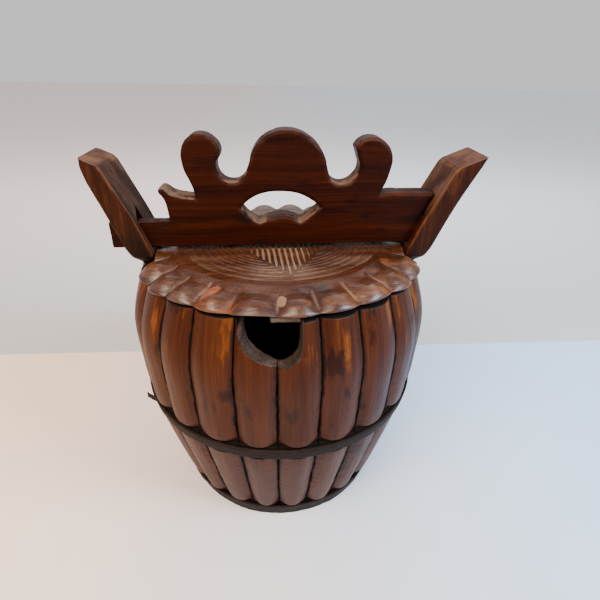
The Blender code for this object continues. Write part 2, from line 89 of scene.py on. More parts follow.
LEFT_TENON_END, RIGHT_TENON_END = -0.1395, 0.1214
LID_SEAM_Y = -0.0065
LID_BOTTOM = 0.2276
LID_NOTCH_X = 0.1030
LID_NOTCH_HALF = 0.0255
# The notch's outline: X at the outer face, X at the inner face, and the height of both
NOTCH_X = (-0.0317, -0.0312, -0.0282, -0.0218, -0.0148, -0.0087, -0.0036, 0.0008, 0.0058,
           0.0103, 0.0121, 0.0126)
NOTCH_X_INSIDE = (-0.0264, -0.0256, -0.0231, -0.0179, -0.0123, -0.0075, -0.0031, 0.0007, 0.0053,
                  0.0093, 0.0109, 0.0115)
NOTCH_Z = (0.2260, 0.2160, 0.2080, 0.2022, 0.1983, 0.1960, 0.1942, 0.1944, 0.1969, 0.2014,
           0.2090, 0.2260)
# The board's outlines in millimetres from its shift and bottom: c is a corner, s is smooth
BOARD_OUTLINE = [
    (-91.0, 0.0, "c"), (-91.0, 22.0, "c"), (-93.5, 40.0, "s"), (-97.2, 46.6, "s"),
    (-94.6, 49.0, "s"), (-86.0, 44.2, "s"), (-68.2, 40.6, "c"), (-70.6, 50.5, "s"),
    (-75.9, 66.0, "s"), (-74.9, 78.6, "s"), (-68.6, 86.6, "s"), (-60.5, 88.7, "s"),
    (-51.2, 84.8, "s"), (-45.9, 76.8, "s"), (-46.8, 71.4, "s"), (-49.3, 68.6, "c"),
    (-49.4, 62.0, "s"), (-45.2, 54.9, "s"), (-38.6, 52.6, "s"), (-31.0, 55.0, "s"),
    (-25.9, 63.5, "s"), (-22.2, 75.0, "s"), (-12.8, 85.8, "s"), (5.8, 91.0, "s"),
    (23.4, 84.4, "s"), (33.6, 72.4, "s"), (37.2, 59.6, "s"), (40.6, 52.6, "s"),
    (48.4, 50.0, "s"), (57.0, 54.0, "s"), (61.2, 62.0, "s"), (59.0, 72.0, "s"),
    (57.2, 77.4, "c"), (62.4, 83.0, "s"), (71.5, 85.0, "s"), (80.8, 81.2, "s"),
    (87.0, 71.8, "s"), (86.2, 58.6, "s"), (79.6, 40.8, "c"), (86.0, 42.0, "s"),
    (99.0, 41.8, "s"), (124.8, 41.4, "c"), (104.9, 0.0, "c")]
FINGER_HOLE_OUTLINE = [
    (-33.0, 32.0, "c"), (-24.6, 38.9, "s"), (-15.0, 43.0, "s"), (0.0, 44.3, "s"),
    (15.0, 41.8, "s"), (24.0, 36.8, "s"), (30.8, 31.7, "c"), (24.0, 26.0, "s"),
    (15.2, 19.6, "c"), (9.0, 22.8, "s"), (0.0, 24.4, "s"), (-9.6, 22.8, "s"),
    (-19.0, 19.6, "c"), (-26.4, 24.6, "s")]
# Lid grooves, degrees from the front towards +X; the back ones are evenly spaced
LID_GROOVES = (-88, -74, -60, -46.5, -33, -19, -2, 12.4, 27.5, 43.5, 58.5, 74, 90)
LOBE_PROFILE = [(0.0880, 0.2380), (0.0930, 0.2368), (0.0975, 0.2362), (0.1025, 0.2370),
                (0.1085, 0.2374), (0.1140, 0.2356), (0.1176, 0.2326), (0.1192, 0.2302),
                (0.1180, 0.2284), (0.1120, 0.2277)]
GROOVE_PROFILE = [(0.0880, 0.2380), (0.0915, 0.2366), (0.0955, 0.2344), (0.1000, 0.2327),
                  (0.1050, 0.2313), (0.1100, 0.2302), (0.1142, 0.2293), (0.1154, 0.2286),
                  (0.1140, 0.2280), (0.1090, 0.2277)]
# Chips on the lid's lobes: X, Y, half length, half width and lean
CHIPS = ((-0.0505, -0.0900, 0.0088, 0.0058, 0.95), (-0.0008, -0.1035, 0.0030, 0.0068, 0.20))
# Knots in the handle board: X, Z, dark radius and the reach of the bent grain; scuffs: X, Z, radius
KNOTS = ((0.0705, 0.2640, 0.0050, 0.010), (-0.0270, 0.2640, 0.0085, 0.014))
SCUFFS = ((-0.0470, 0.3120, 0.0075), (0.0590, 0.3160, 0.0065), (0.0290, 0.3150, 0.0085),
          (-0.0660, 0.2860, 0.0070))
SIDE_DROOP = 0.0030             # the lobes at the sides hang lower and further out
AROUND = 0.12                   # metres round the barrel for each radian, in grain coordinates
# The first mask holds dirt and painted shade, the third dust and painted sheen
MASKS = ("grime", "wear", "dust", "bare")


# ---- small numeric helpers -----------------------------------------------------------------------

def stacked(*parts):
    """Broadcasts the parts together and stacks them as the last axis."""
    return np.stack(np.broadcast_arrays(*parts), -1)


def smoothstep(low, high, x):
    t = np.clip((np.asarray(x, float) - low) / (high - low), 0, 1)
    return t * t * (3 - 2 * t)


def value_noise(points, seed):
    """Smooth noise from -1 to 1 on a unit lattice, for an array of points."""
    base = np.floor(points).astype(np.int64)
    part = points - base
    part = part * part * (3 - 2 * part)
    total = np.zeros(points.shape[:-1])
    for corner in range(8):
        step = (corner & 1, corner >> 1 & 1, corner >> 2 & 1)
        key = ((base[..., 0] + step[0]) * 73856093 ^ (base[..., 1] + step[1]) * 19349663
               ^ (base[..., 2] + step[2]) * 83492791 ^ seed * 40503)
        key = (key ^ key >> 13) * 1274126177 & 0x7FFFFFFF
        key = (key ^ key >> 11) * 668265263 & 0x7FFFFFFF
        height = (key >> 7 & 0xFFFF) / 32767.5 - 1
        weight = np.ones_like(height)
        for axis in range(3):
            weight = weight * (part[..., axis] if step[axis] else 1 - part[..., axis])
        total += weight * height
    return total


def fractal(points, scale, seed, octaves=3):
    """Layered noise; scale is the size of its largest lumps along each axis, in metres."""
    points = points / np.asarray(scale)
    total = 0
    for octave in range(octaves):
        total = total + value_noise(points * 2**octave + 17.3 * octave, seed + octave) / 2**octave
    return total / 1.6


def crown_table():
    """Crown radius against height, by a Catmull-Rom curve through the stations."""
    first, second = BODY_STATIONS[:2]
    before, last = BODY_STATIONS[-2:]
    stations = [(2 * first[0] - second[0], 2 * first[1] - second[1]), *BODY_STATIONS,
                (2 * last[0] - before[0], 2 * last[1] - before[1])]
    heights, radii = [], []
    spans = zip(stations, stations[1:], stations[2:], stations[3:])
    for (z0, r0), (z1, r1), (z2, r2), (z3, r3) in spans:
        slope1 = (r2 - r0) / (z2 - z0) * (z2 - z1)
        slope2 = (r3 - r1) / (z3 - z1) * (z2 - z1)
        for t in np.linspace(0, 1, 40, endpoint=False):
            heights.append(z1 + t * (z2 - z1))
            radii.append((2 * t**3 - 3 * t**2 + 1) * r1 + (t**3 - 2 * t**2 + t) * slope1
                         + (3 * t**2 - 2 * t**3) * r2 + (t**3 - t**2) * slope2)
    heights.append(BODY_STATIONS[-1][0])
    radii.append(BODY_STATIONS[-1][1])
    return np.array(heights), np.array(radii)


CROWN_Z, CROWN_R = crown_table()


def crown(z):
    return np.interp(z, CROWN_Z, CROWN_R)


def seam_angles():
    """Seam angles from +X in radians, anticlockwise from the left ear's front seam."""
    front = [-90 + EAR_HALF, *FRONT_SEAMS, 90 - EAR_HALF]
    width = (180 - 2 * EAR_HALF) / BACK_STAVES
    back = [90 + EAR_HALF + i * width for i in range(BACK_STAVES + 1)]
    return [math.radians(angle - 90) for angle in front + back]


# ---- mesh helpers --------------------------------------------------------------------------------

def new_object(name, mesh):
    obj = bpy.data.objects.new(name, mesh)
    bpy.context.scene.collection.objects.link(obj)
    return obj


def quad_mesh(name, points, quads, polygons=()):
    """A mesh from an array of points, an array of quads and a few larger polygons."""
    rings = [np.asarray(ring, np.int32) for ring in polygons]
    loops = np.concatenate([np.asarray(quads, np.int32).ravel(), *rings])
    sizes = np.array([4] * len(quads) + [len(ring) for ring in rings], np.int32)
    starts = np.concatenate([[0], np.cumsum(sizes)[:-1]]).astype(np.int32)
    mesh = bpy.data.meshes.new(name)
    mesh.vertices.add(len(points))
    mesh.vertices.foreach_set("co", np.asarray(points, np.float32).ravel())
    mesh.loops.add(len(loops))
    mesh.loops.foreach_set("vertex_index", loops)
    mesh.polygons.add(len(sizes))
    mesh.polygons.foreach_set("loop_start", starts)
    mesh.update(calc_edges=True)
    mesh.validate()
    mesh.shade_smooth()
    return mesh


def tube_quads(rows, count, flipped=False, closed=False):
    """Quads between rows of closed rings of the same size; closed joins the last row to the first."""
    i = np.arange(rows if closed else rows - 1)[:, None]
    here, there = i * count, (i + 1) % rows * count
    j = np.arange(count)[None, :]
    k = (j + 1) % count
    quads = np.stack([here + j, here + k, there + k, there + j], -1).reshape(-1, 4)
    return quads[:, [0, 3, 2, 1]] if flipped else quads


def ring_loft(name, outer, inner, sides):
    """A closed block between an outer and an inner sheet, each (rows, columns, 3).

    The sides and both ends are filled with grids, `sides` points deep.
    """
    rows, columns = outer.shape[:2]
    share = (np.arange(sides) + 1)[None, :, None] / (sides + 1)
    right = outer[:, -1:, :] * (1 - share) + inner[:, -1:, :] * share
    left = inner[:, :1, :] * (1 - share) + outer[:, :1, :] * share
    rings = np.concatenate([outer, right, inner[:, ::-1], left], axis=1)
    count = rings.shape[1]
    points = [rings.reshape(-1, 3)]
    quads = [tube_quads(rows, count)]
    total = rows * count
    for row, flip in ((0, True), (rows - 1, False)):
        grid = np.zeros((sides + 2, columns), np.int64)
        grid[0] = row * count + np.arange(columns)
        grid[-1] = row * count + columns + sides + np.arange(columns)[::-1]
        grid[1:-1, -1] = row * count + columns + np.arange(sides)
        grid[1:-1, 0] = row * count + 2 * columns + sides + np.arange(sides)[::-1]
        middle = (sides, columns - 2)
        grid[1:-1, 1:-1] = total + np.arange(middle[0] * middle[1]).reshape(middle)
        depth = (np.arange(sides) + 1)[:, None, None] / (sides + 1)
        filled = outer[row, 1:-1][None] * (1 - depth) + inner[row, 1:-1][None] * depth
        points.append(filled.reshape(-1, 3))
        total += middle[0] * middle[1]
        corners = [grid[:-1, :-1], grid[:-1, 1:], grid[1:, 1:], grid[1:, :-1]]
        cells = np.stack(corners, -1).reshape(-1, 4)
        quads.append(cells[:, ::-1] if flip else cells)
    return quad_mesh(name, np.concatenate(points), np.concatenate(quads))


def coordinates(mesh):
    points = np.empty(len(mesh.vertices) * 3, np.float32)
    mesh.vertices.foreach_get("co", points)
    return points.reshape(-1, 3).astype(float)


def set_coordinates(mesh, points):
    mesh.vertices.foreach_set("co", points.astype(np.float32).ravel())
    mesh.update()


def normals(mesh):
    values = np.empty(len(mesh.vertices) * 3, np.float32)
    mesh.vertices.foreach_get("normal", values)
    return values.reshape(-1, 3).astype(float)


def write_mask(mesh, name, values):
    attribute = mesh.attributes.get(name) or mesh.attributes.new(name, "FLOAT", "POINT")
    attribute.data.foreach_set("value", np.clip(values, 0, 1).astype(np.float32).ravel())


def write_grain(mesh, grain):
    attribute = mesh.attributes.get("grain") or mesh.attributes.new("grain", "FLOAT_VECTOR", "POINT")
    attribute.data.foreach_set("vector", grain.astype(np.float32).ravel())


def paint(mesh, grain, **masks):
    """Stores grain coordinates and masks from 0 to 1 as vertex attributes for the shaders."""
    write_grain(mesh, grain)
    for name in MASKS:
        write_mask(mesh, name, np.zeros(len(mesh.vertices)) + masks.get(name, 0.0))


def seed_offset(seed):
    """Moves each piece's grain to its own place in the noise."""
    return np.array([seed * 0.317, seed * 0.171, seed * 0.733])


def outwardness(points, facing):
    """Radius of each point, and how far its normal points away from the barrel's axis."""
    radius = np.hypot(points[:, 0], points[:, 1])
    outward = facing[:, 0] * points[:, 0] + facing[:, 1] * points[:, 1]
    return radius, outward / np.maximum(radius, 1e-6)


def box_mesh(name, low, high):
    bm = bmesh.new()
    size = [b - a for a, b in zip(low, high)]
    centre = [(a + b) / 2 for a, b in zip(low, high)]
    place = Matrix.Translation(centre) @ Matrix.Diagonal((*size, 1.0))
    bmesh.ops.create_cube(bm, size=1.0, matrix=place)
    mesh = bpy.data.meshes.new(name)
    bm.to_mesh(mesh)
    bm.free()
    return mesh


def baked(obj):
    """The object's mesh with its modifiers applied; the object is removed."""
    name = obj.name
    evaluated = obj.evaluated_get(bpy.context.evaluated_depsgraph_get())
    mesh = bpy.data.meshes.new_from_object(evaluated)
    bpy.data.objects.remove(obj)
    mesh.name = name
    return mesh


def cut(mesh, cutter_mesh):
    obj = new_object(mesh.name, mesh)
    cutter = new_object("cutter", cutter_mesh)
    modifier = obj.modifiers.new("cut", "BOOLEAN")
    modifier.operation = "DIFFERENCE"
    modifier.object = cutter
    modifier.solver = "EXACT"
    result = baked(obj)
    bpy.data.objects.remove(cutter)
    return result


def split_sharp(mesh, degrees):
    """Parts the faces along sharp edges, so each side shades and paints on its own."""
    bm = bmesh.new()
    bm.from_mesh(mesh)
    sharp = [edge for edge in bm.edges if edge.calc_face_angle(0.0) > math.radians(degrees)]
    bmesh.ops.split_edges(bm, edges=sharp)
    bm.to_mesh(mesh)
    bm.free()
    return mesh


def remeshed(mesh, voxel, smoothing):
    """Even quads all over a closed shape, with its edges eased."""
    obj = new_object(mesh.name, mesh)
    modifier = obj.modifiers.new("remesh", "REMESH")
    modifier.mode = "VOXEL"
    modifier.voxel_size = voxel
    modifier = obj.modifiers.new("ease", "SMOOTH")
    modifier.factor = 0.5
    modifier.iterations = smoothing
    result = baked(obj)
    result.shade_smooth()
    return result


TILT_MATRIX = (Matrix.Translation((0, 0, BOARD_BOTTOM)) @ Matrix.Rotation(TILT, 4, "Y")
               @ Matrix.Translation((0, 0, -BOARD_BOTTOM)))


def finish_piece(name, mesh, body, material, replaced):
    obj = new_object(name, mesh)
    mesh.materials.clear()
    mesh.materials.append(material)
    mesh.shade_smooth()
    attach(obj, body)
    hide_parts(*replaced)


# ---- shader helpers ------------------------------------------------------------------------------

class Graph:
    """A Principled material under construction."""

    def __init__(self, name):
        self.material = bpy.data.materials.new(name)
        self.material.use_nodes = True
        self.tree = self.material.node_tree
        self.shader = self.tree.nodes["Principled BSDF"]

    def put(self, socket, value):
        if isinstance(value, bpy.types.NodeSocket):
            self.tree.links.new(value, socket)
        elif isinstance(value, tuple) and len(value) == 3 and len(socket.default_value) == 4:
            socket.default_value = (*value, 1.0)
        else:
            socket.default_value = value

    def add(self, kind, *inputs, **settings):
        node = self.tree.nodes.new(kind)
        for key, value in settings.items():
            setattr(node, key, value)
        for index, value in enumerate(inputs):
            if value is not None:
                self.put(node.inputs[index], value)
        return node

    def attribute(self, name):
        return self.add("ShaderNodeAttribute", attribute_name=name)

    def math(self, operation, *values, clamp=False):
        return self.add("ShaderNodeMath", *values, operation=operation, use_clamp=clamp).outputs[0]

    def plus(self, first, second, clamp=False):
        return self.math("ADD", first, second, clamp=clamp)

    def minus(self, first, second):
        return self.math("SUBTRACT", first, second)

    def times(self, first, second):
        return self.math("MULTIPLY", first, second)

    def weighted(self, *terms, base=None, clamp=False):
        """Sum of sockets times their weights, added to the base in turn and clamped at the end."""
        total = base
        for index, (socket, weight) in enumerate(terms):
            part = self.times(socket, weight)
            last = index == len(terms) - 1
            total = part if total is None else self.plus(total, part, clamp and last)
        return total

    def scaled(self, vector, *scale):
        return self.add("ShaderNodeVectorMath", vector, scale, operation="MULTIPLY").outputs[0]

    def noise(self, vector, detail=3.0, roughness=0.55, distortion=0.0, scale=1.0):
        node = self.add("ShaderNodeTexNoise")
        self.put(node.inputs["Vector"], vector)
        self.put(node.inputs["Scale"], scale)
        self.put(node.inputs["Detail"], detail)
        self.put(node.inputs["Roughness"], roughness)
        self.put(node.inputs["Distortion"], distortion)
        return node.outputs["Fac"]

    def span(self, value, low, high):
        """Rises smoothly from 0 at low to 1 at high."""
        node = self.add("ShaderNodeMapRange", value, low, high)
        node.interpolation_type = "SMOOTHSTEP"
        return node.outputs[0]

    def ramp(self, value, *stops):
        node = self.add("ShaderNodeValToRGB", value)
        elements = node.color_ramp.elements
        while len(elements) < len(stops):
            elements.new(0.5)
        for element, (position, color) in zip(elements, stops):
            element.position = position
            element.color = (*color, 1.0)
        return node.outputs[0]

    def mix(self, factor, first, second):
        node = self.add("ShaderNodeMix", data_type="RGBA")
        self.put(node.inputs[0], factor)
        self.put(node.inputs[6], first)
        self.put(node.inputs[7], second)
        return node.outputs[2]

    def bump(self, height, strength, distance, normal=None):
        node = self.add("ShaderNodeBump")
        node.inputs["Strength"].default_value = strength
        node.inputs["Distance"].default_value = distance
        self.put(node.inputs["Height"], height)
        if normal is not None:
            self.put(node.inputs["Normal"], normal)
        return node.outputs[0]

    def done(self, color, roughness, normal, **constants):
        self.put(self.shader.inputs["Base Color"], color)
        self.put(self.shader.inputs["Roughness"], roughness)
        self.put(self.shader.inputs["Normal"], normal)
        for key, value in constants.items():
            self.shader.inputs[key.replace("_", " ")].default_value = value
        return self.material


def wood_material(name, dark, middle, light, worn, dust_and_sheen_color, stain, gloss, specular):
    """Old finished wood. Grain coordinates run across in X, deep in Y and along the grain in Z."""
    g = Graph(name)
    grain = g.attribute("grain").outputs["Vector"]
    grime, wear, dust, bare, chip = (g.attribute(mask).outputs["Fac"] for mask in (*MASKS, "chip"))

    fibres = g.noise(g.scaled(grain, 1500, 1500, 60), detail=3, roughness=0.6)
    streaks = g.noise(g.scaled(grain, 300, 300, 9), detail=5, roughness=0.6, distortion=0.6)
    bands = g.noise(g.scaled(grain, 75, 75, 6), detail=3, roughness=0.55, distortion=1.2)
    blotches = g.noise(g.scaled(grain, 48, 48, 24), detail=5, roughness=0.62)
    patches = g.noise(g.scaled(grain, 120, 120, 40), detail=6, roughness=0.65)
    pores = g.noise(g.scaled(grain, 2600, 2600, 190), detail=1, roughness=0.5)

    tone = g.weighted((streaks, 0.50), (bands, 0.50), (g.minus(fibres, 0.5), 0.30))
    color = g.ramp(tone, (0.30, dark), (0.50, middle), (0.70, light))

    # Worn places show the wood's own colour, in patches that follow the grain
    worn_mask = g.span(g.weighted((patches, 0.75), (streaks, 0.45), (wear, 0.42)), 0.80, 1.02)
    worn_color = g.ramp(fibres, (0.25, tuple(c * 0.62 for c in worn)), (0.7, worn))
    color = g.mix(worn_mask, color, worn_color)

    stains = g.span(g.plus(blotches, g.times(grime, 0.10)), 0.565, 0.66)
    color = g.mix(g.times(stains, stain), color, tuple(c * 0.35 for c in dark))
    specks = g.span(g.noise(g.scaled(grain, 420, 420, 150), detail=2), 0.70, 0.78)
    color = g.mix(g.times(specks, 0.65), color, tuple(c * 0.3 for c in dark))

    # Dust and painted sheen: a paler tint where the dust mask is high
    haze = g.span(g.noise(g.scaled(grain, 60, 60, 14), detail=4, roughness=0.6), 0.42, 0.70)
    color = g.mix(g.times(haze, g.times(dust, 0.8)), color, dust_and_sheen_color)
    color = g.mix(g.span(dust, 0.62, 0.98), color, dust_and_sheen_color)

    # Raw cut wood, a fresh chip, and then dirt and painted shade over everything
    bare_color = g.ramp(g.weighted((fibres, 0.5), (patches, 0.5)), (0.36, (0.0070, 0.0045, 0.0032)),
                        (0.52, (0.030, 0.020, 0.0140)), (0.66, (0.085, 0.060, 0.042)))
    color = g.mix(bare, color, bare_color)
    chip_color = g.ramp(patches, (0.35, (0.150, 0.036, 0.017)), (0.62, (0.245, 0.076, 0.039)))
    color = g.mix(chip, color, chip_color)
    # Dirt and painted shade: towards near-black where the first mask is high
    dirt_and_shade = g.span(g.plus(grime, g.times(g.minus(patches, 0.5), 0.55)), 0.25, 0.85)
    color = g.mix(g.times(dirt_and_shade, 0.94), color, (0.0035, 0.0022, 0.0018))

    rough = g.weighted((streaks, 0.14), (blotches, 0.12), (worn_mask, 0.08),
                       (g.math("MAXIMUM", bare, dirt_and_shade), 0.48), (g.span(dust, 0.3, 1.0), 0.22),
                       base=gloss - 0.12, clamp=True)

    relief = g.weighted((streaks, 0.9), (fibres, 0.35))
    relief = g.minus(relief, g.times(g.span(pores, 0.62, 0.75), 0.30))
    relief = g.minus(relief, g.times(worn_mask, 0.15))
    normal = g.bump(relief, 0.55, 0.0006)
    lumps = g.noise(g.scaled(grain, 260, 260, 70), detail=4, roughness=0.6)
    torn = g.times(bare, g.times(patches, 2.2))
    normal = g.bump(g.plus(g.times(lumps, 0.5), torn), 0.35, 0.0008, normal)
    return g.done(color, rough, normal, Specular_IOR_Level=specular)


def iron_material(name, dark, light, rust):
    """Dull weathered strap, streaked along its length. Grain Z runs along the strap."""
    g = Graph(name)
    grain = g.attribute("grain").outputs["Vector"]
    wear = g.attribute("wear").outputs["Fac"]
    grime = g.attribute("grime").outputs["Fac"]
    streaks = g.noise(g.scaled(grain, 900, 900, 45), detail=5, roughness=0.65)
    mottle = g.noise(g.scaled(grain, 220, 220, 130), detail=5, roughness=0.68)
    broad = g.noise(g.scaled(grain, 60, 60, 30), detail=3)
    tone = g.weighted((streaks, 0.55), (mottle, 0.45), (wear, 0.16))
    middle = tuple((a + b) / 2 for a, b in zip(dark, light))
    color = g.ramp(tone, (0.36, dark), (0.54, middle), (0.70, light))
    color = g.mix(g.times(g.span(broad, 0.50, 0.66), 0.55), color, rust)
    # Dirt and painted shade, towards near-black
    dirt_and_shade = g.span(g.plus(grime, g.times(mottle, 0.4)), 0.4, 1.0)
    color = g.mix(g.times(dirt_and_shade, 0.9), color, (0.010, 0.008, 0.007))
    rough = g.plus(0.48, g.times(mottle, 0.30), clamp=True)
    normal = g.bump(g.weighted((streaks, 0.7), (mottle, 0.8)), 0.7, 0.0008)
    return g.done(color, rough, normal, Specular_IOR_Level=0.10)


def floor_material():
    """Pale paper under painted warm light at the left and painted cool light at the right, a shade greyer
    behind the bucket.
    """
    g = Graph("floor_paper")
    position = g.add("ShaderNodeNewGeometry").outputs["Position"]
    cloud = g.noise(position, detail=4, scale=2.3)
    fine = g.noise(position, detail=2, scale=700)
    color = g.ramp(cloud, (0.3, (0.72, 0.69, 0.66)), (0.7, (0.76, 0.735, 0.71)))
    side, back = g.add("ShaderNodeSeparateXYZ", position).outputs[:2]
    back = g.minus(back, g.times(side, 0.01))
    # Painted warm light at the left and painted cool light at the right, near and far
    color = g.mix(g.span(side, -0.40, 0.40), g.mix(0.75, color, (0.985, 0.650, 0.420)),
                  g.mix(0.75, color, (0.390, 0.590, 0.860)))
    far = g.mix(g.span(side, -0.9, 0.9), (0.99, 0.850, 0.800), (0.93, 0.945, 0.990))
    wall = g.mix(g.span(back, 0.15, 1.1), (0.485, 0.465, 0.455), far)
    color = g.mix(g.times(g.span(back, 0.1755, 0.1775), 0.92), color, wall)
    return g.done(color, g.plus(0.78, g.times(fine, 0.1)), g.bump(fine, 0.05, 0.0003))


STAVE_WOOD = wood_material("stave_wood_looks", (0.0160, 0.0030, 0.0006), (0.0370, 0.0075, 0.0012),
                           (0.0620, 0.0145, 0.0024), (0.165, 0.041, 0.0028), (0.066, 0.024, 0.0110),
                           stain=0.75, gloss=0.38, specular=0.11)
BOARD_WOOD = wood_material("board_wood_looks", (0.0070, 0.0009, 0.0001), (0.0175, 0.0023, 0.0002),
                           (0.0350, 0.0056, 0.0006), (0.052, 0.0105, 0.0014), (0.098, 0.053, 0.034),
                           stain=0.45, gloss=0.42, specular=0.05)
LID_WOOD = wood_material("lid_wood_looks", (0.0145, 0.0028, 0.0005), (0.0370, 0.0082, 0.0013),
                         (0.0680, 0.0180, 0.0032), (0.140, 0.0370, 0.0040), (0.190, 0.108, 0.063),
                         stain=0.60, gloss=0.28, specular=0.44)
EAR_WOOD = wood_material("ear_wood_looks", (0.0075, 0.0013, 0.0003), (0.0220, 0.0045, 0.0008),
                         (0.0480, 0.0120, 0.0024), (0.105, 0.026, 0.0036), (0.120, 0.056, 0.033),
                         stain=0.50, gloss=0.44, specular=0.08)
PALE_WOOD = wood_material("pale_wood_looks", (0.026, 0.015, 0.009), (0.072, 0.045, 0.028),
                          (0.140, 0.094, 0.062), (0.150, 0.093, 0.055), (0.170, 0.117, 0.080),
                          stain=0.55, gloss=0.75, specular=0.15)
IRON = iron_material("dark_iron_looks", (0.0012, 0.0006, 0.0004), (0.0170, 0.0082, 0.0052),
                     (0.0070, 0.0024, 0.0010))


# ---- staves --------------------------------------------------------------------------------------

LOBE_DEPTH = 0.0048             # from a lobe's crown down to the seam
LOBE_END = 0.0085               # length over which a lobe's lower end rounds off
UPPER_LOBE_START = HOOP_HIGH + 0.0003
LOWER_LOBE_START = BAND_HIGH + 0.0003
NOTCH_FIX = 0.190               # below this height the notch doesn't change the rows
HOOP_MIDDLE = (HOOP_LOW + HOOP_HIGH) / 2
CHANNEL_DEPTH = 0.0022          # the hoop's channel, below the crown
BAND_SEAT_DEPTH = 0.0032        # the foot's band sits this far below the crown
RIM_EASING = 0.0015             # the staves' upper ends are rounded over this length
FOOT_EASING = 0.0012
OUTER_INSET = 0.003             # the notch is laid out this far inside the crown
EVEN = np.linspace(-1, 1, 41)
COLUMNS = 0.45 * EVEN + 0.55 * np.sin(np.pi / 2 * EVEN)       # denser towards the seams
NOTCH_COLUMNS = (-0.0316, -0.0310, -0.0300, -0.0262, -0.0254, 0.0091, 0.0107, 0.0113, 0.0112,
                 0.0119, 0.0124)


def lobe_share(rise, t, power):
    """How much of a lobe's bulge is there, from its lower end (rise 0) and across it (t -1 to 1)."""
    x = np.clip(rise / LOBE_END, 0, 1)
    width = np.maximum((1 - (1 - x) ** 2.6) ** (1 / 2.6), 0.001)
    toe = np.sqrt(1 - (1 - np.clip(rise / 0.0030, 0, 1)) ** 2)
    across = np.clip(1 - np.abs(t / width) ** power, 0, 1)
    return across * toe


def outer_radius(z, t):
    """Radius of a stave's face, with its lobes above and below the hoop."""
    top = crown(z)
    upper = lobe_share(z - UPPER_LOBE_START, t, 2.4)
    lower = lobe_share(z - LOWER_LOBE_START, t, 2.2)
    radius = top - LOBE_DEPTH * (1 - np.where(z > UPPER_LOBE_START, upper, lower))
    in_channel = (z > HOOP_LOW - 0.0002) & (z <= UPPER_LOBE_START)
    radius = np.where(in_channel, top - CHANNEL_DEPTH, radius)
    return np.where(z <= LOWER_LOBE_START, top - BAND_SEAT_DEPTH, radius)


def stave_heights():
    """Heights of a stave's rows, close together where its shape turns."""
    spans = ((0.0, FOOT_EASING, 3), (0.004, BAND_HIGH - 0.0008, 5),
             (BAND_HIGH - 0.0003, BAND_HIGH + 0.0095, 26), (0.0262, HOOP_LOW - 0.0008, 72),
             (HOOP_LOW - 0.0004, HOOP_LOW + 0.0006, 3), (HOOP_LOW + 0.002, HOOP_HIGH - 0.001, 6),
             (HOOP_HIGH - 0.0002, HOOP_HIGH + 0.0095, 28), (0.1268, NOTCH_FIX, 66),
             (NOTCH_FIX + 0.0009, RIM - RIM_EASING, 34))
    rounded = RIM - RIM_EASING * np.array([0.7, 0.45, 0.25, 0.1, 0.0])
    return np.concatenate([*[np.linspace(*span) for span in spans], rounded])


def top_height(x, notched, inside=False):
    """Height of a stave's top at X; the notch is cut wider at the outside."""
    if not notched:
        return RIM + 0 * x
    outline = NOTCH_X_INSIDE if inside else NOTCH_X
    return np.minimum(RIM, np.interp(x, outline, NOTCH_Z, left=RIM, right=RIM))


def rounding(rise, length):
    """How far an end has turned in at this rise below it, from 1 at the end to 0."""
    return 1 - np.sqrt(1 - np.clip(1 - rise / length, 0, 1) ** 2)


def stave_columns(half, middle, notched):
    """Places across a stave, -1 to 1, with extra ones along the notch's sides."""
    if not notched:
        return COLUMNS
    extra = []
    for x in NOTCH_COLUMNS:
        for radius in (crown(RIM) - OUTER_INSET, crown(RIM) - WALL):
            share = (-math.acos(x / radius) - middle) / half
            if abs(share) < 0.97:
                extra += [share - 0.012, share, share + 0.012]
    return np.unique(np.round(np.concatenate([COLUMNS, extra]), 4))


def stave_sheets(half, middle, notched, seed):
    """Outer and inner sheets of a stave, as (rows, columns, 3) arrays in the row frame."""
    rows = stave_heights()[:, None]
    t = stave_columns(half, middle, notched)[None, :]
    sheets = []
    for inside in (False, True):
        base_radius = crown(RIM) - (WALL if inside else OUTER_INSET)
        top = top_height(base_radius * np.cos(middle + t * half), notched, inside)
        lowered = NOTCH_FIX + (rows - NOTCH_FIX) * (top - NOTCH_FIX) / (RIM - NOTCH_FIX)
        z = np.where(rows > NOTCH_FIX, lowered, rows + 0 * t)
        easing = 0.0009 * rounding(RIM - rows, RIM_EASING)
        if inside:
            radius = (crown(z) - WALL) / np.cos(t * half) + easing
        else:
            radius = outer_radius(z, t) - easing - 0.0008 * rounding(rows, FOOT_EASING)
        wobble_at = stacked(rows, np.sign(t) * 3.1, seed * 7.7)
        ragged = np.maximum(0, value_noise(wobble_at / np.array([0.009, 1, 1]), seed)) * 0.0007
        ragged = ragged + np.maximum(0, value_noise(wobble_at / np.array([0.0028, 1, 1]), seed + 3)) * 0.0004
        gap = -0.00008 if inside else 0.00022 + ragged
        angle = middle + t * (half - gap / radius)
        point = np.stack([radius * np.cos(angle), radius * np.sin(angle), z], -1)
        if not inside:
            place = stacked(t * half * AROUND, z, seed)
            lumps = 0.00030 * fractal(place, (0.008, 0.045, 1), seed)
            facets = 0.00014 * fractal(place, (0.0022, 0.030, 1), seed + 9)
            seams = 1 - 0.7 * np.abs(t) ** 8
            fade = smoothstep(0.0, 0.004, np.abs(z - HOOP_MIDDLE) - 0.006)
            push = (lumps + facets) * seams * fade
            point = point + push[..., None] * stacked(np.cos(angle), np.sin(angle), 0)
        if notched:
            chopped = smoothstep(0.0, 0.004, RIM - top) * smoothstep(0.004, 0.0, np.abs(z - top))
            rough = fractal(point, (0.0035, 0.0035, 0.0035), 61)
            point[..., 2] = point[..., 2] + 0.00045 * rough * chopped
        sheets.append(point)
    return sheets


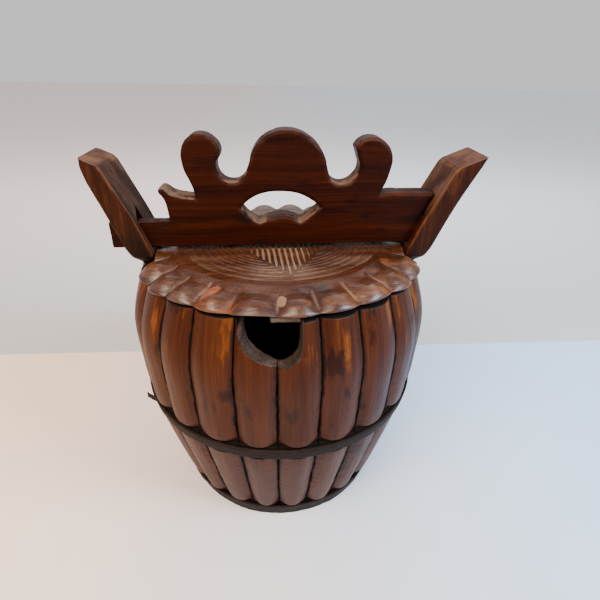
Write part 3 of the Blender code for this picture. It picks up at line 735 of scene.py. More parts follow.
# Dark smudges: stave number, place across (-1 to 1), height, half width across, half height
SMUDGES = ((4, 0.10, 0.155, 0.60, 0.022), (4, 0.30, 0.132, 0.70, 0.018), (3, -0.20, 0.188, 0.35, 0.014),
           (7, -0.05, 0.166, 0.50, 0.018), (6, 0.10, 0.086, 0.80, 0.022), (9, 0.20, 0.200, 0.60, 0.020),
           (6, 0.60, 0.200, 0.50, 0.020), (2, 0.40, 0.150, 0.60, 0.024), (13, 0.0, 0.140, 0.70, 0.022),
           (17, 0.3, 0.170, 0.65, 0.020))


def paint_stave(mesh, half, middle, seed, notched=False):
    points = coordinates(mesh)
    facing = normals(mesh)
    angle = np.arctan2(points[:, 1], points[:, 0])
    t = ((angle - middle + np.pi) % (2 * np.pi) - np.pi) / half
    radius, outward = outwardness(points, facing)
    z = points[:, 2]
    face = smoothstep(0.05, 0.45, outward)
    grain = np.stack([t * half * AROUND, radius - crown(z), z], -1) + seed_offset(seed)
    place = stacked(t * half * AROUND, z, seed)
    ragged = fractal(place, (0.0030, 0.0060, 1), seed + 71)
    seam = smoothstep(0.84, 1.0, np.abs(t) + 0.06 * ragged)
    rise = np.where(z > HOOP_HIGH, z - UPPER_LOBE_START, z - LOWER_LOBE_START)
    toe = smoothstep(0.0045, 0.0, rise) * (rise > -0.001)
    corner = smoothstep(0.45, 0.95, np.abs(t)) * smoothstep(0.011, 0.001, rise)
    valley = smoothstep(0.66, 1.0, np.abs(t)) * (z < HOOP_LOW)
    # Painted shade at the lobes' toes and corners by the hoop and the band, in the valleys below the hoop, in
    # the hoop's channel and the band's seat, under the hoop's lower edge and on faces turned away from
    # outward; the seams are dark joints
    grime = np.maximum.reduce([
        seam * 0.95,
        toe * (0.55 + 0.35 * smoothstep(0.3, 0.7, np.abs(t))),
        corner * 0.90,
        valley * 0.50,
        (rise < 0.0008) * 0.9,
        (np.abs(z - HOOP_MIDDLE) < 0.0070) * 0.95,
        smoothstep(0.004, 0.0, np.abs(z - HOOP_LOW)) * 0.15,
        1 - face])
    deep = np.clip((crown(z) - radius) / WALL, 0, 1)
    x_on_edge = points[:, 0] - deep * np.interp(points[:, 0], NOTCH_X, np.subtract(NOTCH_X_INSIDE, NOTCH_X))
    top = np.min([top_height(x_on_edge + shift, notched) for shift in (-0.0012, 0, 0.0012)], axis=0)
    chopped = (z > top - 0.0009) & (top < RIM - RIM_EASING) & (deep < 0.99)
    rim = (facing[:, 2] > 0.55) & (z > RIM - 0.0006)
    inner = smoothstep(-0.1, -0.5, outward)
    spotty = fractal(place, (0.0034, 0.0110, 1), seed + 91, 4)
    for number, across, height, wide, tall in SMUDGES:
        if number == seed:
            away = np.hypot((t - across) / wide, (z - height) / tall)
            grime = np.maximum(grime, smoothstep(1.0, 0.1, away + 1.2 * spotty + 0.30) * 0.42)
    # The cut notch edges are bare wood, and the staves' top ends get a painted shadow of the lid
    grime = np.where(chopped, 0.18 + 0.25 * ragged, np.where(rim, 0.9, grime))
    # The inner faces are painted darker
    grime = np.where(inner > 0.5, 0.55, grime)
    high = smoothstep(0.150, 0.215, z)
    patch = fractal(place, (0.010, 0.035, 1), seed + 31)
    wear = np.clip(high * (0.40 + 0.75 * patch) + 0.04, 0, 1) * face * (1 - seam)
    # Dust and painted sheen: a paler tint on the crowns of the lower staves and below the hoop
    lower_dust_and_sheen = smoothstep(0.200, 0.145, z) * (0.55 + 0.35 * patch) * face * (1 - seam)
    below = (z < HOOP_LOW) * (0.22 + 0.3 * patch) * face * (1 - seam)
    dust = np.clip(np.maximum(lower_dust_and_sheen, below) * 0.62, 0, 0.6)
    paint(mesh, grain, grime=grime, wear=wear, dust=dust, bare=chopped * 0.92)


def ear_sheets(stations, seed):
    """Outer and inner sheets of the ear's blade, above the stave it grows from, at +X."""
    table = np.array(stations)
    place = np.linspace(0, len(table) - 1, 90)
    rows = np.stack([np.interp(place, np.arange(len(table)), table[:, k]) for k in range(6)], -1)
    for _ in range(6):
        rows[1:-1] = (rows[:-2] + 2 * rows[1:-1] + rows[2:]) / 4
    t = COLUMNS[None, :]
    z_in, x_in, z_out, x_out, half, corner = (rows[:, k][:, None] for k in range(6))
    lean = smoothstep(0.0, 1.0, (z_in - RIM) / 0.0076)
    sheets = []
    for x_face, sign, round_off in ((x_out, -1, corner), (x_in, 1, 0 * corner + 0.0013)):
        y = t * half
        over = np.clip((np.abs(y) - (half - round_off)) / round_off, 0, 1)
        x = x_face + sign * round_off * (1 - np.sqrt(1 - over**2))
        z = z_in + (x - x_in) * (z_out - z_in) / (x_out - x_in)
        point = np.stack([x + 0 * y, y + EAR_SHIFT_Y * lean, z + 0 * y], -1)
        wave = fractal(point, (0.012, 0.012, 0.05), seed) * 0.00035
        wave = wave + fractal(point, (0.003, 0.003, 0.02), seed + 3) * 0.00012
        fade = smoothstep(RIM, RIM + 0.006, z_in)
        point[..., 0] += -sign * wave * fade
        sheets.append(point)
    return sheets


def paint_ear(mesh, side, seed):
    points = coordinates(mesh)
    facing = normals(mesh)
    x, y, z = points.T
    stave_part = z < RIM
    paint_stave(mesh, math.radians(EAR_HALF), 0.0 if side > 0 else math.pi, seed)
    grain = np.empty(len(points) * 3, np.float32)
    mesh.attributes["grain"].data.foreach_get("vector", grain)
    blade = np.stack([y, x * side - 0.12, z], -1) + seed_offset(seed)
    share = smoothstep(RIM - 0.004, RIM + 0.004, z)[:, None]
    write_grain(mesh, grain.reshape(-1, 3) * (1 - share) + blade * share)

    inward = -facing[:, 0] * side
    top = smoothstep(0.45, 0.75, facing[:, 2]) * (z > 0.29)
    inner_face = smoothstep(0.4, 0.8, inward) * (1 - top)
    front = smoothstep(0.5, 0.85, np.abs(facing[:, 1]))
    patch = fractal(points, (0.012, 0.012, 0.030), seed + 40)
    foot = smoothstep(0.262, 0.236, z)
    edge_wear = smoothstep(0.0022, 0.0, np.abs(np.abs(y - EAR_SHIFT_Y) - 0.0225)) * (inward > 0.2)
    # Painted sheen on the inner faces as a pale tint, and dust on the top ends
    dust = inner_face * (0.66 + 0.12 * patch) * (1 - 0.4 * foot) + top * (0.72 + 0.22 * patch)
    in_slot = (y > BOARD_FRONT - 0.0006) & (y < TENON_BACK + 0.0026)
    in_slot = in_slot & (z > 0.2350) & (z < 0.2765) & (np.abs(x) > 0.1000)
    inside_mortise = in_slot & (np.abs(facing).max(1) > 0.60) & (np.abs(inward) < 0.60)
    # Painted shade on the front faces, and darker towards the foot
    grime = np.clip(front * (0.34 + 0.25 * patch) + foot * 0.12 + 0.02, 0, 1)
    blade_masks = {
        "grime": grime,
        "wear": inner_face * 0.20 + front * (0.36 + 0.4 * patch) + top * 0.6 + edge_wear * 0.4,
        "dust": np.clip(dust + edge_wear * 0.25, 0, 0.9),
        "bare": 0.0,
    }
    for name, blade_mask in blade_masks.items():
        stave_mask = np.empty(len(points), np.float32)
        mesh.attributes[name].data.foreach_get("value", stave_mask)
        mixed = np.where(stave_part, stave_mask, blade_mask)
        # The mortise's walls are painted fully dark, as shade
        if name == "grime":
            mixed = np.where(inside_mortise, 1.0, mixed)
        write_mask(mesh, name, mixed)


def make_staves():
    """The plain staves; the two wide gaps between seams are left for the ears."""
    seams = seam_angles()
    number = 0
    for first, last in zip(seams, seams[1:] + [seams[0] + 2 * math.pi]):
        half, middle = (last - first) / 2, (last + first) / 2
        if abs(half - math.radians(EAR_HALF)) < 0.0001:
            continue
        number += 1
        name = f"stave_{number:02d}"
        xs = crown(RIM) * np.cos([first, last])
        notched = math.sin(middle) < 0 and xs[1] > NOTCH_X[0] and xs[0] < NOTCH_X[-1]
        outer, inner = stave_sheets(half, middle, notched, number)
        mesh = ring_loft(f"{name}_visual", outer, inner, 5)
        paint_stave(mesh, half, middle, number, notched)
        finish_piece(f"{name}_visual", mesh, "bucket", STAVE_WOOD, [name])


def mortise_cutter(side, reach):
    """A slot for a tenon, from inside the ear out to reach, lower at its front edge."""
    xs = sorted((side * 0.085, side * reach))
    mesh = box_mesh("mortise", (xs[0], BOARD_FRONT, BOARD_BOTTOM - 0.0003),
                    (xs[1], TENON_BACK + 0.0024, TENON_TOP + 0.0092))
    for vertex in mesh.vertices:
        if vertex.co.z > TENON_TOP and vertex.co.y < BOARD_FRONT + 0.0003:
            vertex.co.z = TENON_TOP + 0.0010
    mesh.transform(TILT_MATRIX)
    return mesh


def make_ears():
    ears = (("ear_stave_right", 1, RIGHT_EAR, RIGHT_TENON_END + BOARD_SHIFT + 0.0006, 31),
            ("ear_stave_left", -1, LEFT_EAR, 0.170, 47))
    for name, side, stations, reach, seed in ears:
        outer, inner = stave_sheets(math.radians(EAR_HALF), 0.0, False, seed)
        blade_outer, blade_inner = ear_sheets(stations, seed)
        keep = stave_heights() < RIM - 0.0022
        outer = np.concatenate([outer[keep], blade_outer])
        inner = np.concatenate([inner[keep], blade_inner])
        mesh = ring_loft(f"{name}_visual", outer, inner, 14)
        if side < 0:
            mesh.transform(Matrix.Diagonal((-1.0, 1.0, 1.0, 1.0)))
            mesh.flip_normals()
        mesh = split_sharp(cut(mesh, mortise_cutter(side, reach)), 38)
        paint_ear(mesh, side, seed)
        finish_piece(f"{name}_visual", mesh, "bucket", EAR_WOOD, [name])


# ---- hoops ---------------------------------------------------------------------------------------

def strap(name, low, high, inner_offset, thickness, seed, bulges=()):
    """A bent strap round the barrel as rings of a rounded section."""
    columns = 540
    angle = np.linspace(0, 2 * np.pi, columns, endpoint=False)
    height = high - low
    corner = thickness * 0.35
    section = []
    for cu, cv, start in ((thickness - corner, corner, -90), (thickness - corner, height - corner, 0),
                          (corner, height - corner, 90), (corner, corner, 180)):
        for step in range(4):
            turn = math.radians(start + step * 30)
            section.append((cu + corner * math.cos(turn), cv + corner * math.sin(turn)))
        if start == -90:
            section += [(thickness, corner + (height - 2 * corner) * k / 7) for k in range(1, 7)]
    section = np.array(section)
    around = np.stack([np.cos(angle) * 3, np.sin(angle) * 3, 0 * angle + seed], -1)
    wave = value_noise(around * 2.3, seed) * 0.00025
    swell = value_noise(around * 1.4, seed + 1) * 0.00020
    fray_low = value_noise(around * 9.0, seed + 2) * 0.00055
    fray_high = value_noise(around * 11.0, seed + 3) * 0.00050
    share = section[:, 1] / height
    fray = fray_low[:, None] * (1 - share) ** 3 + fray_high[:, None] * share**3
    z = low + section[:, 1][None] + wave[:, None] + fray
    radius = crown(z) + inner_offset + section[:, 0][None] + swell[:, None] * (section[:, 0] / thickness)
    for centre, width, lift in bulges:
        away = np.abs((angle - math.radians(centre) + np.pi) % (2 * np.pi) - np.pi)
        bulge = lift * smoothstep(math.radians(width), 0, away)
        radius = radius + bulge[:, None] * (section[:, 0] / thickness)
    dents = fractal(stacked(angle[:, None] * AROUND, z, seed), (0.004, 0.0012, 1), seed + 5)
    radius = radius + 0.00014 * dents * (section[:, 0] / thickness > 0.5)
    z = np.maximum(z, 0.0002)
    rings = np.stack([radius * np.cos(angle)[:, None], radius * np.sin(angle)[:, None], z], -1)
    quads = tube_quads(columns, len(section), flipped=True, closed=True)
    return quad_mesh(name, rings.reshape(-1, 3), quads)


def paint_strap(mesh, low, high, seed):
    points = coordinates(mesh)
    facing = normals(mesh)
    angle = np.arctan2(points[:, 1], points[:, 0])
    radius, outward = outwardness(points, facing)
    grain = np.stack([points[:, 2], radius - crown(points[:, 2]), angle * AROUND], -1) + seed
    edge = smoothstep(0.0025, 0.0, np.minimum(points[:, 2] - low, high - points[:, 2]))
    top = smoothstep(0.2, 0.8, facing[:, 2])
    # Painted shade on the face against the barrel, and a little on all but the top
    grime = np.where(outward < -0.2, 0.9, 0.12 * (1 - top))
    paint(mesh, grain, grime=grime, wear=edge * 0.5 + top * 0.8)


def joined(name, meshes):
    bm = bmesh.new()
    for mesh in meshes:
        bm.from_mesh(mesh)
    result = bpy.data.meshes.new(name)
    bm.to_mesh(result)
    bm.free()
    return result


def make_hoops():
    mesh = strap("mid_hoop_visual", HOOP_LOW + 0.0010, HOOP_HIGH - 0.0010, -0.0021, 0.0031, 5)
    # The lapped end has sprung away from the barrel at the left
    start = crown(HOOP_MIDDLE) + 0.0001
    tail = box_mesh("tail", (-0.0005, -0.0128, -0.0026), (0.0005, 0.0, 0.0026))
    tail.transform(Matrix.Rotation(math.radians(208), 4, "Z")
                   @ Matrix.Translation((start, 0.0, HOOP_MIDDLE + 0.0012))
                   @ Matrix.Rotation(math.radians(25), 4, "Z"))
    tail = remeshed(tail, 0.0003, 3)
    tail_points = coordinates(tail)
    tail_points[:, 2] += 0.0004 * fractal(tail_points, (0.003, 0.003, 0.003), 8)
    set_coordinates(tail, tail_points)
    mesh = joined("mid_hoop_visual", [mesh, tail])
    paint_strap(mesh, HOOP_LOW, HOOP_HIGH, 3.0)
    finish_piece("mid_hoop_visual", mesh, "bucket", IRON, ["mid_hoop"])

    mesh = strap("base_band_visual", 0.0004, BAND_HIGH - 0.0001, -0.0025, 0.0022, 15,
                 bulges=((212, 5, 0.0009), (250, 9, 0.0003), (300, 6, 0.0004)))
    paint_strap(mesh, 0.0, BAND_HIGH, 9.0)
    finish_piece("base_band_visual", mesh, "bucket", IRON, ["base_band"])


# ---- lid -----------------------------------------------------------------------------------------

def smooth_profile(points, count):
    """A polyline resampled evenly and eased at its corners."""
    points = np.array(points)
    length = np.concatenate([[0], np.cumsum(np.hypot(*np.diff(points, axis=0).T))])
    fine = np.linspace(0, length[-1], 400)
    line = np.stack([np.interp(fine, length, points[:, k]) for k in (0, 1)], -1)
    for _ in range(90):
        line[1:-1] = (line[:-2] + 2 * line[1:-1] + line[2:]) / 4
    return line[np.linspace(0, 399, count).astype(int)]


def groove_angles():
    front = list(LID_GROOVES)
    back = np.linspace(front[-1], front[0] + 360, 13)[1:-1]
    return np.array(front + list(back) + [front[0] + 360])


def carved_lines(x, y):
    """Depth share of the medallion's carving at points of the lid's top."""
    wobble = 0.00030 * value_noise(np.stack([x / 0.010, y / 0.010, 0 * x], -1), 71)
    radius = np.hypot(x - 0.0015, y - 0.0035) + wobble
    width = 0.00088 * (1 + 0.30 * value_noise(np.stack([x / 0.014, y / 0.014, 0 * x + 4], -1), 72))
    beta = math.radians(4)
    across = (x - 0.0018) * math.cos(beta) + y * math.sin(beta)
    along = -(x - 0.0018) * math.sin(beta) + y * math.cos(beta)
    diamond = np.abs(across) / 0.0455 + np.abs(along) / 0.0705
    lines = np.zeros_like(x)
    for ring_radius in (0.0424, 0.0470, 0.0516, 0.0559, 0.0603, 0.0648, 0.0697, 0.0757):
        near = smoothstep(1.35, 0.65, np.abs(radius - ring_radius) / width)
        lines = np.maximum(lines, near * (diamond > 1.05))
    border = smoothstep(1.5, 0.5, np.abs(radius - 0.0830) / width)
    lines = np.maximum(lines, border * 0.8)
    position = (across + wobble) / 0.0046
    offset = np.abs(position - np.round(position)) * 0.0046
    hatch = smoothstep(1.45, 0.75, offset / (width * 1.15)) * (diamond < 0.985)
    return np.maximum(lines, hatch)


def make_lid():
    columns = 960
    angle = np.linspace(0, 2 * np.pi, columns, endpoint=False)
    from_front = (np.degrees(angle) + 90 + 88) % 360 - 88
    grooves = groove_angles()
    index = np.clip(np.searchsorted(grooves, from_front, side="right") - 1, 0, len(grooves) - 2)
    phase = (from_front - grooves[index]) / (grooves[index + 1] - grooves[index])
    swell = np.sin(np.pi * np.clip(phase, 0, 1)) ** 0.80
    swell = swell * (0.94 + 0.06 * value_noise(np.stack([index * 3.3, 0 * phase, 0 * phase], -1), 5))

    lobe = smooth_profile(LOBE_PROFILE, 60)
    valley = smooth_profile(GROOVE_PROFILE, 60)
    edge = valley[:, None, :] + (lobe - valley)[:, None, :] * swell[None, :, None]
    blend = smoothstep(0, 1, np.arange(60) / 10)[:, None, None]
    edge = edge * blend + (lobe[:, None, :] + 0 * edge) * (1 - blend)
    radii = edge[..., 0]
    heights = edge[..., 1]
    side = smoothstep(36, 58, np.abs(from_front)) * smoothstep(200, 130, np.abs(from_front))
    outer = smoothstep(0.1060, 0.1180, radii) * side[None]
    radii = radii + 0.0024 * outer
    heights = heights - SIDE_DROOP * outer
    # Over the pouring notch the edge is hollowed from below
    arch = np.sin(np.pi * np.clip((from_front + 18.5) / 17.5, 0, 1)) ** 0.8 * 0.0034
    heights = np.maximum(heights, (LID_BOTTOM + arch)[None, :] - SIDE_DROOP * outer)
    flat_count = 190
    flat_radii = np.linspace(0.0015, 0.0876, flat_count)[:, None] + 0 * angle[None]
    under_radii = np.linspace(0.97, 0.02, 14)[:, None] * radii[-1][None]
    radii = np.concatenate([flat_radii, radii, under_radii])
    under_heights = under_radii * 0 + LID_BOTTOM + arch[None] * np.linspace(1, 0, 14)[:, None] ** 2
    heights = np.concatenate([flat_radii * 0 + LOBE_PROFILE[0][1], heights, under_heights])
    sine = np.sin(angle)[None]
    cosine = np.cos(angle)[None]
    beside = np.abs(LID_NOTCH_X * np.tan(angle) - EAR_SHIFT_Y * np.sign(np.cos(angle)))
    clip = np.where(beside < LID_NOTCH_HALF,
                    LID_NOTCH_X / np.maximum(np.abs(np.cos(angle)), 0.1), 1.0)
    radii = np.minimum(radii, clip[None])
    x, y = radii * cosine, radii * sine
    on_top = np.arange(len(radii))[:, None] < flat_count
    lines = carved_lines(x, y) * on_top
    # The carving, and the valleys between the lobes
    depth = 0.00080 * lines
    lumps = fractal(stacked(x, y, 0.0), (0.018, 0.030, 1), 81) * 0.00030
    tool = fractal(stacked(x, y, 0.0), (0.004, 0.010, 1), 82) * 0.00012
    top_side = np.arange(len(radii))[:, None] < flat_count + 45
    unevenness = (lumps + tool) * top_side * smoothstep(LID_NOTCH_X + 0.02, 0.09, np.minimum(radii, 0.12))
    z = heights - depth + unevenness
    points = np.stack([x, y, z], -1)
    rows = len(radii)
    flat = points.reshape(-1, 3)
    i = np.arange(rows - 1)[:, None] * columns
    j = np.arange(columns)[None]
    k = (j + 1) % columns
    quads = np.stack([i + j, i + columns + j, i + columns + k, i + k], -1).reshape(-1, 4)
    top_cap = list(range(columns))
    bottom_cap = list(range((rows - 1) * columns, rows * columns))[::-1]
    whole = quad_mesh("lid_whole", flat, quads, [top_cap, bottom_cap])
    # Masks are kept on the mesh and survive the cut into two boards
    share = (phase - np.round(phase)) * (grooves[index + 1] - grooves[index])
    on_lobes = smoothstep(0.0900, 0.0950, radii)
    groove_line = smoothstep(1.15, 0.45, np.abs(share + 0.25))[None] * on_lobes
    groove_line = groove_line * (np.arange(rows)[:, None] < flat_count + 42)
    thick = 0.88 + 0.22 * value_noise(stacked(x / 0.004, y / 0.004, 0.0), 90)
    rubbed = 0.58 + 0.30 * smoothstep(0.034, 0.012, np.abs(x)) + 0.12 * (thick - 0.9)
    dust = np.maximum(lines * rubbed, groove_line * thick * 0.74)
    # Painted highlight as a pale tint on the lobes' outer slopes
    dust = np.maximum(dust, 0.34 * smoothstep(0.1040, 0.1110, radii) * swell[None] * ~on_top * (z > 0.2300))
    medallion = smoothstep(0.0835, 0.0825, np.hypot(x - 0.0015, y - 0.0035)) * on_top
    dust = np.maximum(dust, medallion * 0.34)
    chips = []
    for cx, cy, rx, ry, lean in CHIPS:
        dx, dy = x - cx, y - cy
        u = (dx * math.cos(lean) + dy * math.sin(lean)) / rx
        v = (-dx * math.sin(lean) + dy * math.cos(lean)) / ry
        ragged = 0.14 * value_noise(stacked(x / 0.003, y / 0.003, 0.0), 95)
        chips.append(smoothstep(1.1, 0.9, np.hypot(u, v) + ragged) * (z > 0.2285))
    dust = np.maximum(dust, chips[1] * 0.95)
    # Painted shade under the lid and beside the grooves on the lobes
    under = np.arange(rows)[:, None] > flat_count + 52
    beside_groove = 0.16 * smoothstep(2.6, 0.9, np.abs(share))[None]
    grime = np.where(under, 0.7, beside_groove * smoothstep(0.0920, 0.0980, radii))
    # Painted shade on the edge face under the arch over the notch
    arch_edge = smoothstep(0.0006, -0.0004, z - LID_BOTTOM - 0.0008 - 1.8 * arch[None])
    arch_edge = arch_edge * (arch[None] > 0.0004) * ~on_top
    grime = np.maximum(grime * (1 - 0.5 * arch_edge), arch_edge * 0.42)
    # Painted shade on the top where the handle board covers it
    covered = (y > BOARD_FRONT - 0.0002) & (y < BOARD_BACK + 0.0002) & on_top
    grime = np.where(covered, 0.45, grime)
    dust = np.where(covered, 0.0, dust)
    patch = fractal(stacked(x, y, 0.0), (0.012, 0.025, 1), 84)
    wear = np.clip(0.35 + 0.45 * patch + 0.25 * smoothstep(0.100, 0.113, radii), 0, 1) * (1 - medallion)
    values = {"dust": dust, "grime": grime, "wear": wear, "bare": 0 * x, "chip": chips[0]}
    for key, field in values.items():
        write_mask(whole, key, field)
    write_grain(whole, np.stack([y, z, x], -1).reshape(-1, 3) + 5.0)

    for name, side in (("lid_board_front", 1), ("lid_board_back", -1)):
        bm = bmesh.new()
        bm.from_mesh(whole)
        result = bmesh.ops.bisect_plane(bm, geom=bm.verts[:] + bm.edges[:] + bm.faces[:],
                                        plane_co=(0, LID_SEAM_Y - side * 0.00015, 0),
                                        plane_no=(0, side, 0), clear_outer=True)
        edges = [item for item in result["geom_cut"] if isinstance(item, bmesh.types.BMEdge)]
        bmesh.ops.holes_fill(bm, edges=edges)
        mesh = bpy.data.meshes.new(f"{name}_visual")
        bm.to_mesh(mesh)
        bm.free()
        mesh.transform(TILT_MATRIX)
        finish_piece(f"{name}_visual", mesh, "lid", LID_WOOD, [name])

    low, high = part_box("lid_batten")
    mesh = box_mesh("lid_batten_visual", (low.x + 0.0002, low.y + 0.0006, low.z + 0.0003),
                    (high.x - 0.0002, high.y - 0.0003, high.z - 0.0036))
    mesh = remeshed(mesh, 0.0007, 3)
    points = coordinates(mesh)
    points += normals(mesh) * (0.0004 * fractal(points, (0.004, 0.02, 0.004), 21) - 0.0001)[:, None]
    set_coordinates(mesh, points)
    end = smoothstep(0.0015, 0.0, points[:, 1] - low.y)
    paint(mesh, points[:, [0, 2, 1]] + 8.0, grime=0.30 * (1 - end), dust=0.2 * end)
    finish_piece("lid_batten_visual", mesh, "lid", PALE_WOOD, ["lid_batten"])


# ---- handle board --------------------------------------------------------------------------------

def make_handle_board():
    bevel = 0.0034
    curve = bpy.data.curves.new("board_outline", "CURVE")
    curve.dimensions = "2D"
    curve.fill_mode = "BOTH"
    curve.extrude = (BOARD_BACK - BOARD_FRONT) / 2 - bevel
    curve.bevel_depth = bevel
    curve.bevel_resolution = 3
    curve.offset = -bevel
    for outline in (BOARD_OUTLINE, FINGER_HOLE_OUTLINE):
        spline = curve.splines.new("BEZIER")
        spline.bezier_points.add(len(outline) - 1)
        spline.use_cyclic_u = True
        spline.resolution_u = 10
        for point, (x, height, kind) in zip(spline.bezier_points, outline):
            point.co = (BOARD_SHIFT + x * MM, BOARD_BOTTOM + height * MM, 0.0)
            handle = "AUTO" if kind == "s" else "VECTOR"
            point.handle_left_type = handle
            point.handle_right_type = handle
    obj = new_object("board_outline", curve)
    obj.location[1] = (BOARD_FRONT + BOARD_BACK) / 2
    obj.rotation_euler[0] = math.pi / 2
    bpy.context.view_layer.update()
    matrix = obj.matrix_world.copy()
    mesh = baked(obj)
    mesh.transform(matrix)
    front = BOARD_FRONT + 0.0003
    bottom, top = BOARD_BOTTOM + 0.0004, TENON_TOP - 0.0003
    sole = box_mesh("sole", (-0.0885, BOARD_FRONT + 0.0001, BOARD_BOTTOM),
                    (0.1045, BOARD_BACK - 0.0001, BOARD_BOTTOM + 0.0060))
    through_tenon = box_mesh("through_tenon", (LEFT_TENON_END + BOARD_SHIFT, front, bottom),
                             (-0.080, TENON_BACK, top))
    blind_tenon = box_mesh("blind_tenon", (0.090, front, bottom),
                           (RIGHT_TENON_END + BOARD_SHIFT, TENON_BACK, top))
    mesh = joined("handle_board_visual", [mesh, sole, through_tenon, blind_tenon])
    mesh = remeshed(mesh, 0.0007, 5)
    points = coordinates(mesh)
    facing = normals(mesh)
    waves = 0.00028 * fractal(points, (0.060, 0.010, 0.010), 51)
    waves = waves + 0.00016 * fractal(points, (0.020, 0.004, 0.0022), 52)
    nicks = smoothstep(0.55, 0.9, fractal(points, (0.006, 0.006, 0.006), 53)) * 0.0005
    upward = smoothstep(0.3, 0.8, facing[:, 2])
    flat_front = smoothstep(0.8, 0.97, np.abs(facing[:, 1]))
    pits = upward * smoothstep(0.35, 0.7, fractal(points, (0.0035, 0.0035, 0.0035), 57)) * 0.0007
    push = waves * (0.35 + 0.65 * (1 - flat_front)) - nicks * (1 - flat_front) - pits - 0.0002
    points += facing * push[:, None]
    set_coordinates(mesh, points)
    facing = normals(mesh)
    x, y, z = points.T
    upward = smoothstep(0.15, 0.75, facing[:, 2])
    edge = (1 - smoothstep(0.90, 0.995, np.abs(facing[:, 1]))) * smoothstep(0.25, 0.6, np.abs(facing[:, 1]))
    patch = fractal(points, (0.030, 0.02, 0.012), 55)
    fine = fractal(points, (0.006, 0.006, 0.004), 56)
    wing = smoothstep(-0.062, -0.070, x) * smoothstep(0.2700, 0.2760, z) * upward * (z < 0.292)
    valley = smoothstep(-0.05, 0.35, facing[:, 2]) * smoothstep(0.3060, 0.2990, z)
    valley = valley * (z > 0.286) * (np.abs(facing[:, 1]) < 0.6)
    finger = upward * ((np.abs(x - BOARD_SHIFT) < 0.036) & (z < 0.2765) & (z > 0.255))
    finger = finger * smoothstep(0.0090, 0.0145, np.abs(x - BOARD_SHIFT))
    hump_top = upward * (z > 0.310)
    dust = np.clip(wing * (0.84 + 0.60 * fine) + valley * (0.68 + 0.55 * fine) + finger * (0.74 + 0.50 * fine)
                   + hump_top * (0.12 + 0.30 * patch) + upward * 0.16 + edge * (0.10 + 0.25 * patch), 0, 0.96)
    near_right = smoothstep(0.082, 0.108, x) * (z < 0.284)
    knots = 0
    for kx, kz, size, _ in KNOTS:
        knot = smoothstep(1.0, 0.3, np.hypot((x - kx) / (size * 1.35), (z - kz) / size))
        knots = np.maximum(knots, knot * (y < BOARD_FRONT + 0.004))
    for kx, kz, size in SCUFFS:
        scuff = smoothstep(1.0, 0.2, np.hypot(x - kx, z - kz) / size) * (0.65 + 0.8 * fine)
        knots = np.maximum(knots, 0.9 * scuff)
    # Darker towards the left below the tenons' tops, and painted shade on faces not turned up and under the
    # board
    left_dark = smoothstep(-0.078, -0.092, x) * (z < 0.268)
    under = smoothstep(-0.5, -0.9, facing[:, 2]) * (z < BOARD_BOTTOM + 0.001)
    grime = np.clip(near_right * (0.34 + 0.30 * patch) + knots * 0.55 + left_dark * 0.30
                    + 0.06 * (1 - upward) + under, 0, 1)
    wear = np.clip(0.10 + 0.22 * patch + edge * 0.30 + upward * 0.35, 0, 1)
    grain = np.stack([1.7 * z + 0.0010 * np.sin(x / 0.013), y, 0.6 * x], -1) + 11.0
    # The grain bends round the two knots
    for kx, kz, _, size in KNOTS:
        away = np.hypot((x - kx) / 2.0, z - kz)
        grain[:, 0] += 0.0035 * np.sign(z - kz) * np.exp(-(away / size) ** 2)
    paint(mesh, grain, grime=grime, wear=wear, dust=dust)
    mesh.transform(TILT_MATRIX)
    finish_piece("handle_board_visual", mesh, "handle", BOARD_WOOD, ["handle_board"])


# ---- carried-over CAD nodes ----------------------------------------------------------------------

def cad_wood(name, dark, light, along):
    """Bare wood for CAD nodes that stay as they are, grained along one axis of the row frame."""
    g = Graph(name)
    position = g.add("ShaderNodeTexCoord").outputs["Object"]
    stretch = [520.0, 520.0, 520.0]
    stretch[along] = 22.0
    streaks = g.noise(g.scaled(position, *stretch), detail=5, roughness=0.62, distortion=0.4)
    broad = g.noise(g.scaled(position, *[value / 6 for value in stretch]), detail=4)
    color = g.ramp(g.plus(g.times(streaks, 0.6), g.times(broad, 0.4)), (0.32, dark), (0.68, light))
    return g.done(color, g.plus(0.55, g.times(broad, 0.3)), g.bump(streaks, 0.5, 0.0005))


def dress_cad_nodes():
    inner = cad_wood("inner_wood_looks", (0.060, 0.032, 0.018), (0.200, 0.120, 0.070), 0)
    bamboo = cad_wood("bamboo_looks", (0.045, 0.022, 0.009), (0.110, 0.062, 0.028), 2)
    for name, obj in NODES.items():
        for prefix, material in (("stave_dowel", bamboo), ("bottom_board", inner)):
            if name.startswith(prefix):
                for slot in obj.material_slots:
                    slot.material = material


# ---- stage, light and camera ---------------------------------------------------------------------

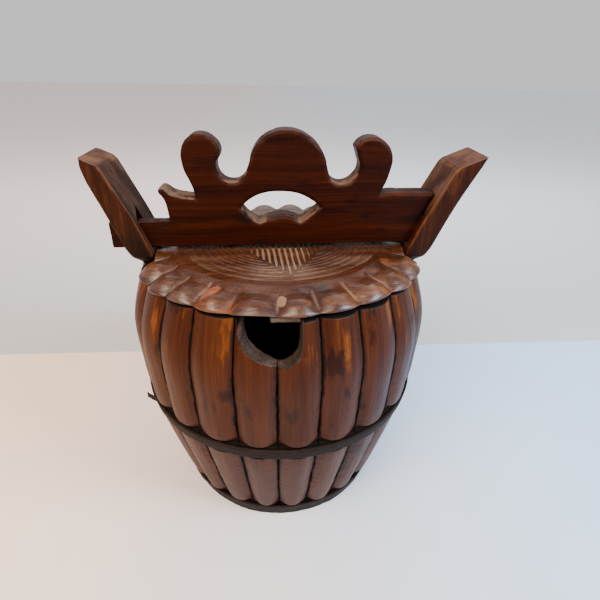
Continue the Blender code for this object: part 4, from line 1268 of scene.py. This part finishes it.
def make_stage():
    corners = np.array([(-6, -6, 0), (6, -6, 0), (6, 6, 0), (-6, 6, 0)], float)
    mesh = quad_mesh("floor", corners, [(0, 1, 2, 3)])
    floor = new_object("floor", mesh)
    mesh.materials.append(floor_material())

    world = bpy.data.worlds.new("studio")
    bpy.context.scene.world = world
    world.use_nodes = True
    background = world.node_tree.nodes["Background"]
    background.inputs["Color"].default_value = (0.94, 0.94, 0.96, 1.0)
    background.inputs["Strength"].default_value = 0.84

    def area(name, location, target, size, power, color):
        light = bpy.data.lights.new(name, "AREA")
        light.shape = "RECTANGLE"
        light.size, light.size_y = size
        light.energy = power
        light.color = color
        obj = bpy.data.objects.new(name, light)
        bpy.context.scene.collection.objects.link(obj)
        direction = Vector(target) - Vector(location)
        obj.location = location
        obj.rotation_euler = direction.to_track_quat("-Z", "Y").to_euler()

    area("key", (-0.52, -0.72, 1.20), (0, 0, 0.15), (0.8, 0.8), 36.0, (1.0, 0.83, 0.66))
    area("fill", (0.95, -0.55, 0.95), (0, 0, 0.15), (0.55, 0.55), 34.0, (0.64, 0.82, 1.0))
    area("back", (0.1, 0.95, 1.15), (0, 0, 0.2), (1.2, 0.7), 8.0, (0.97, 0.98, 1.0))


def make_camera():
    yaw, pitch, roll = math.radians(3.9), math.radians(28.85), math.radians(1.2)
    forward = Vector((math.sin(yaw) * math.cos(pitch), math.cos(yaw) * math.cos(pitch), -math.sin(pitch)))
    right = Vector((math.cos(yaw), -math.sin(yaw), 0.0))
    down = forward.cross(right)
    side = math.cos(roll) * right - math.sin(roll) * down
    up = -(math.sin(roll) * right + math.cos(roll) * down)
    camera = bpy.data.cameras.new("camera")
    camera.lens = 27.0
    camera.sensor_width = 36.0
    camera.clip_start = 0.01
    camera.shift_x = -1 / 600
    obj = bpy.data.objects.new("camera", camera)
    bpy.context.scene.collection.objects.link(obj)
    axes = Matrix((side, up, -forward)).transposed().to_4x4()
    obj.matrix_world = Matrix.Translation((-0.006, -0.370, 0.382)) @ axes
    bpy.context.scene.camera = obj


make_staves()
make_ears()
make_hoops()
make_lid()
make_handle_board()
dress_cad_nodes()
make_stage()
make_camera()
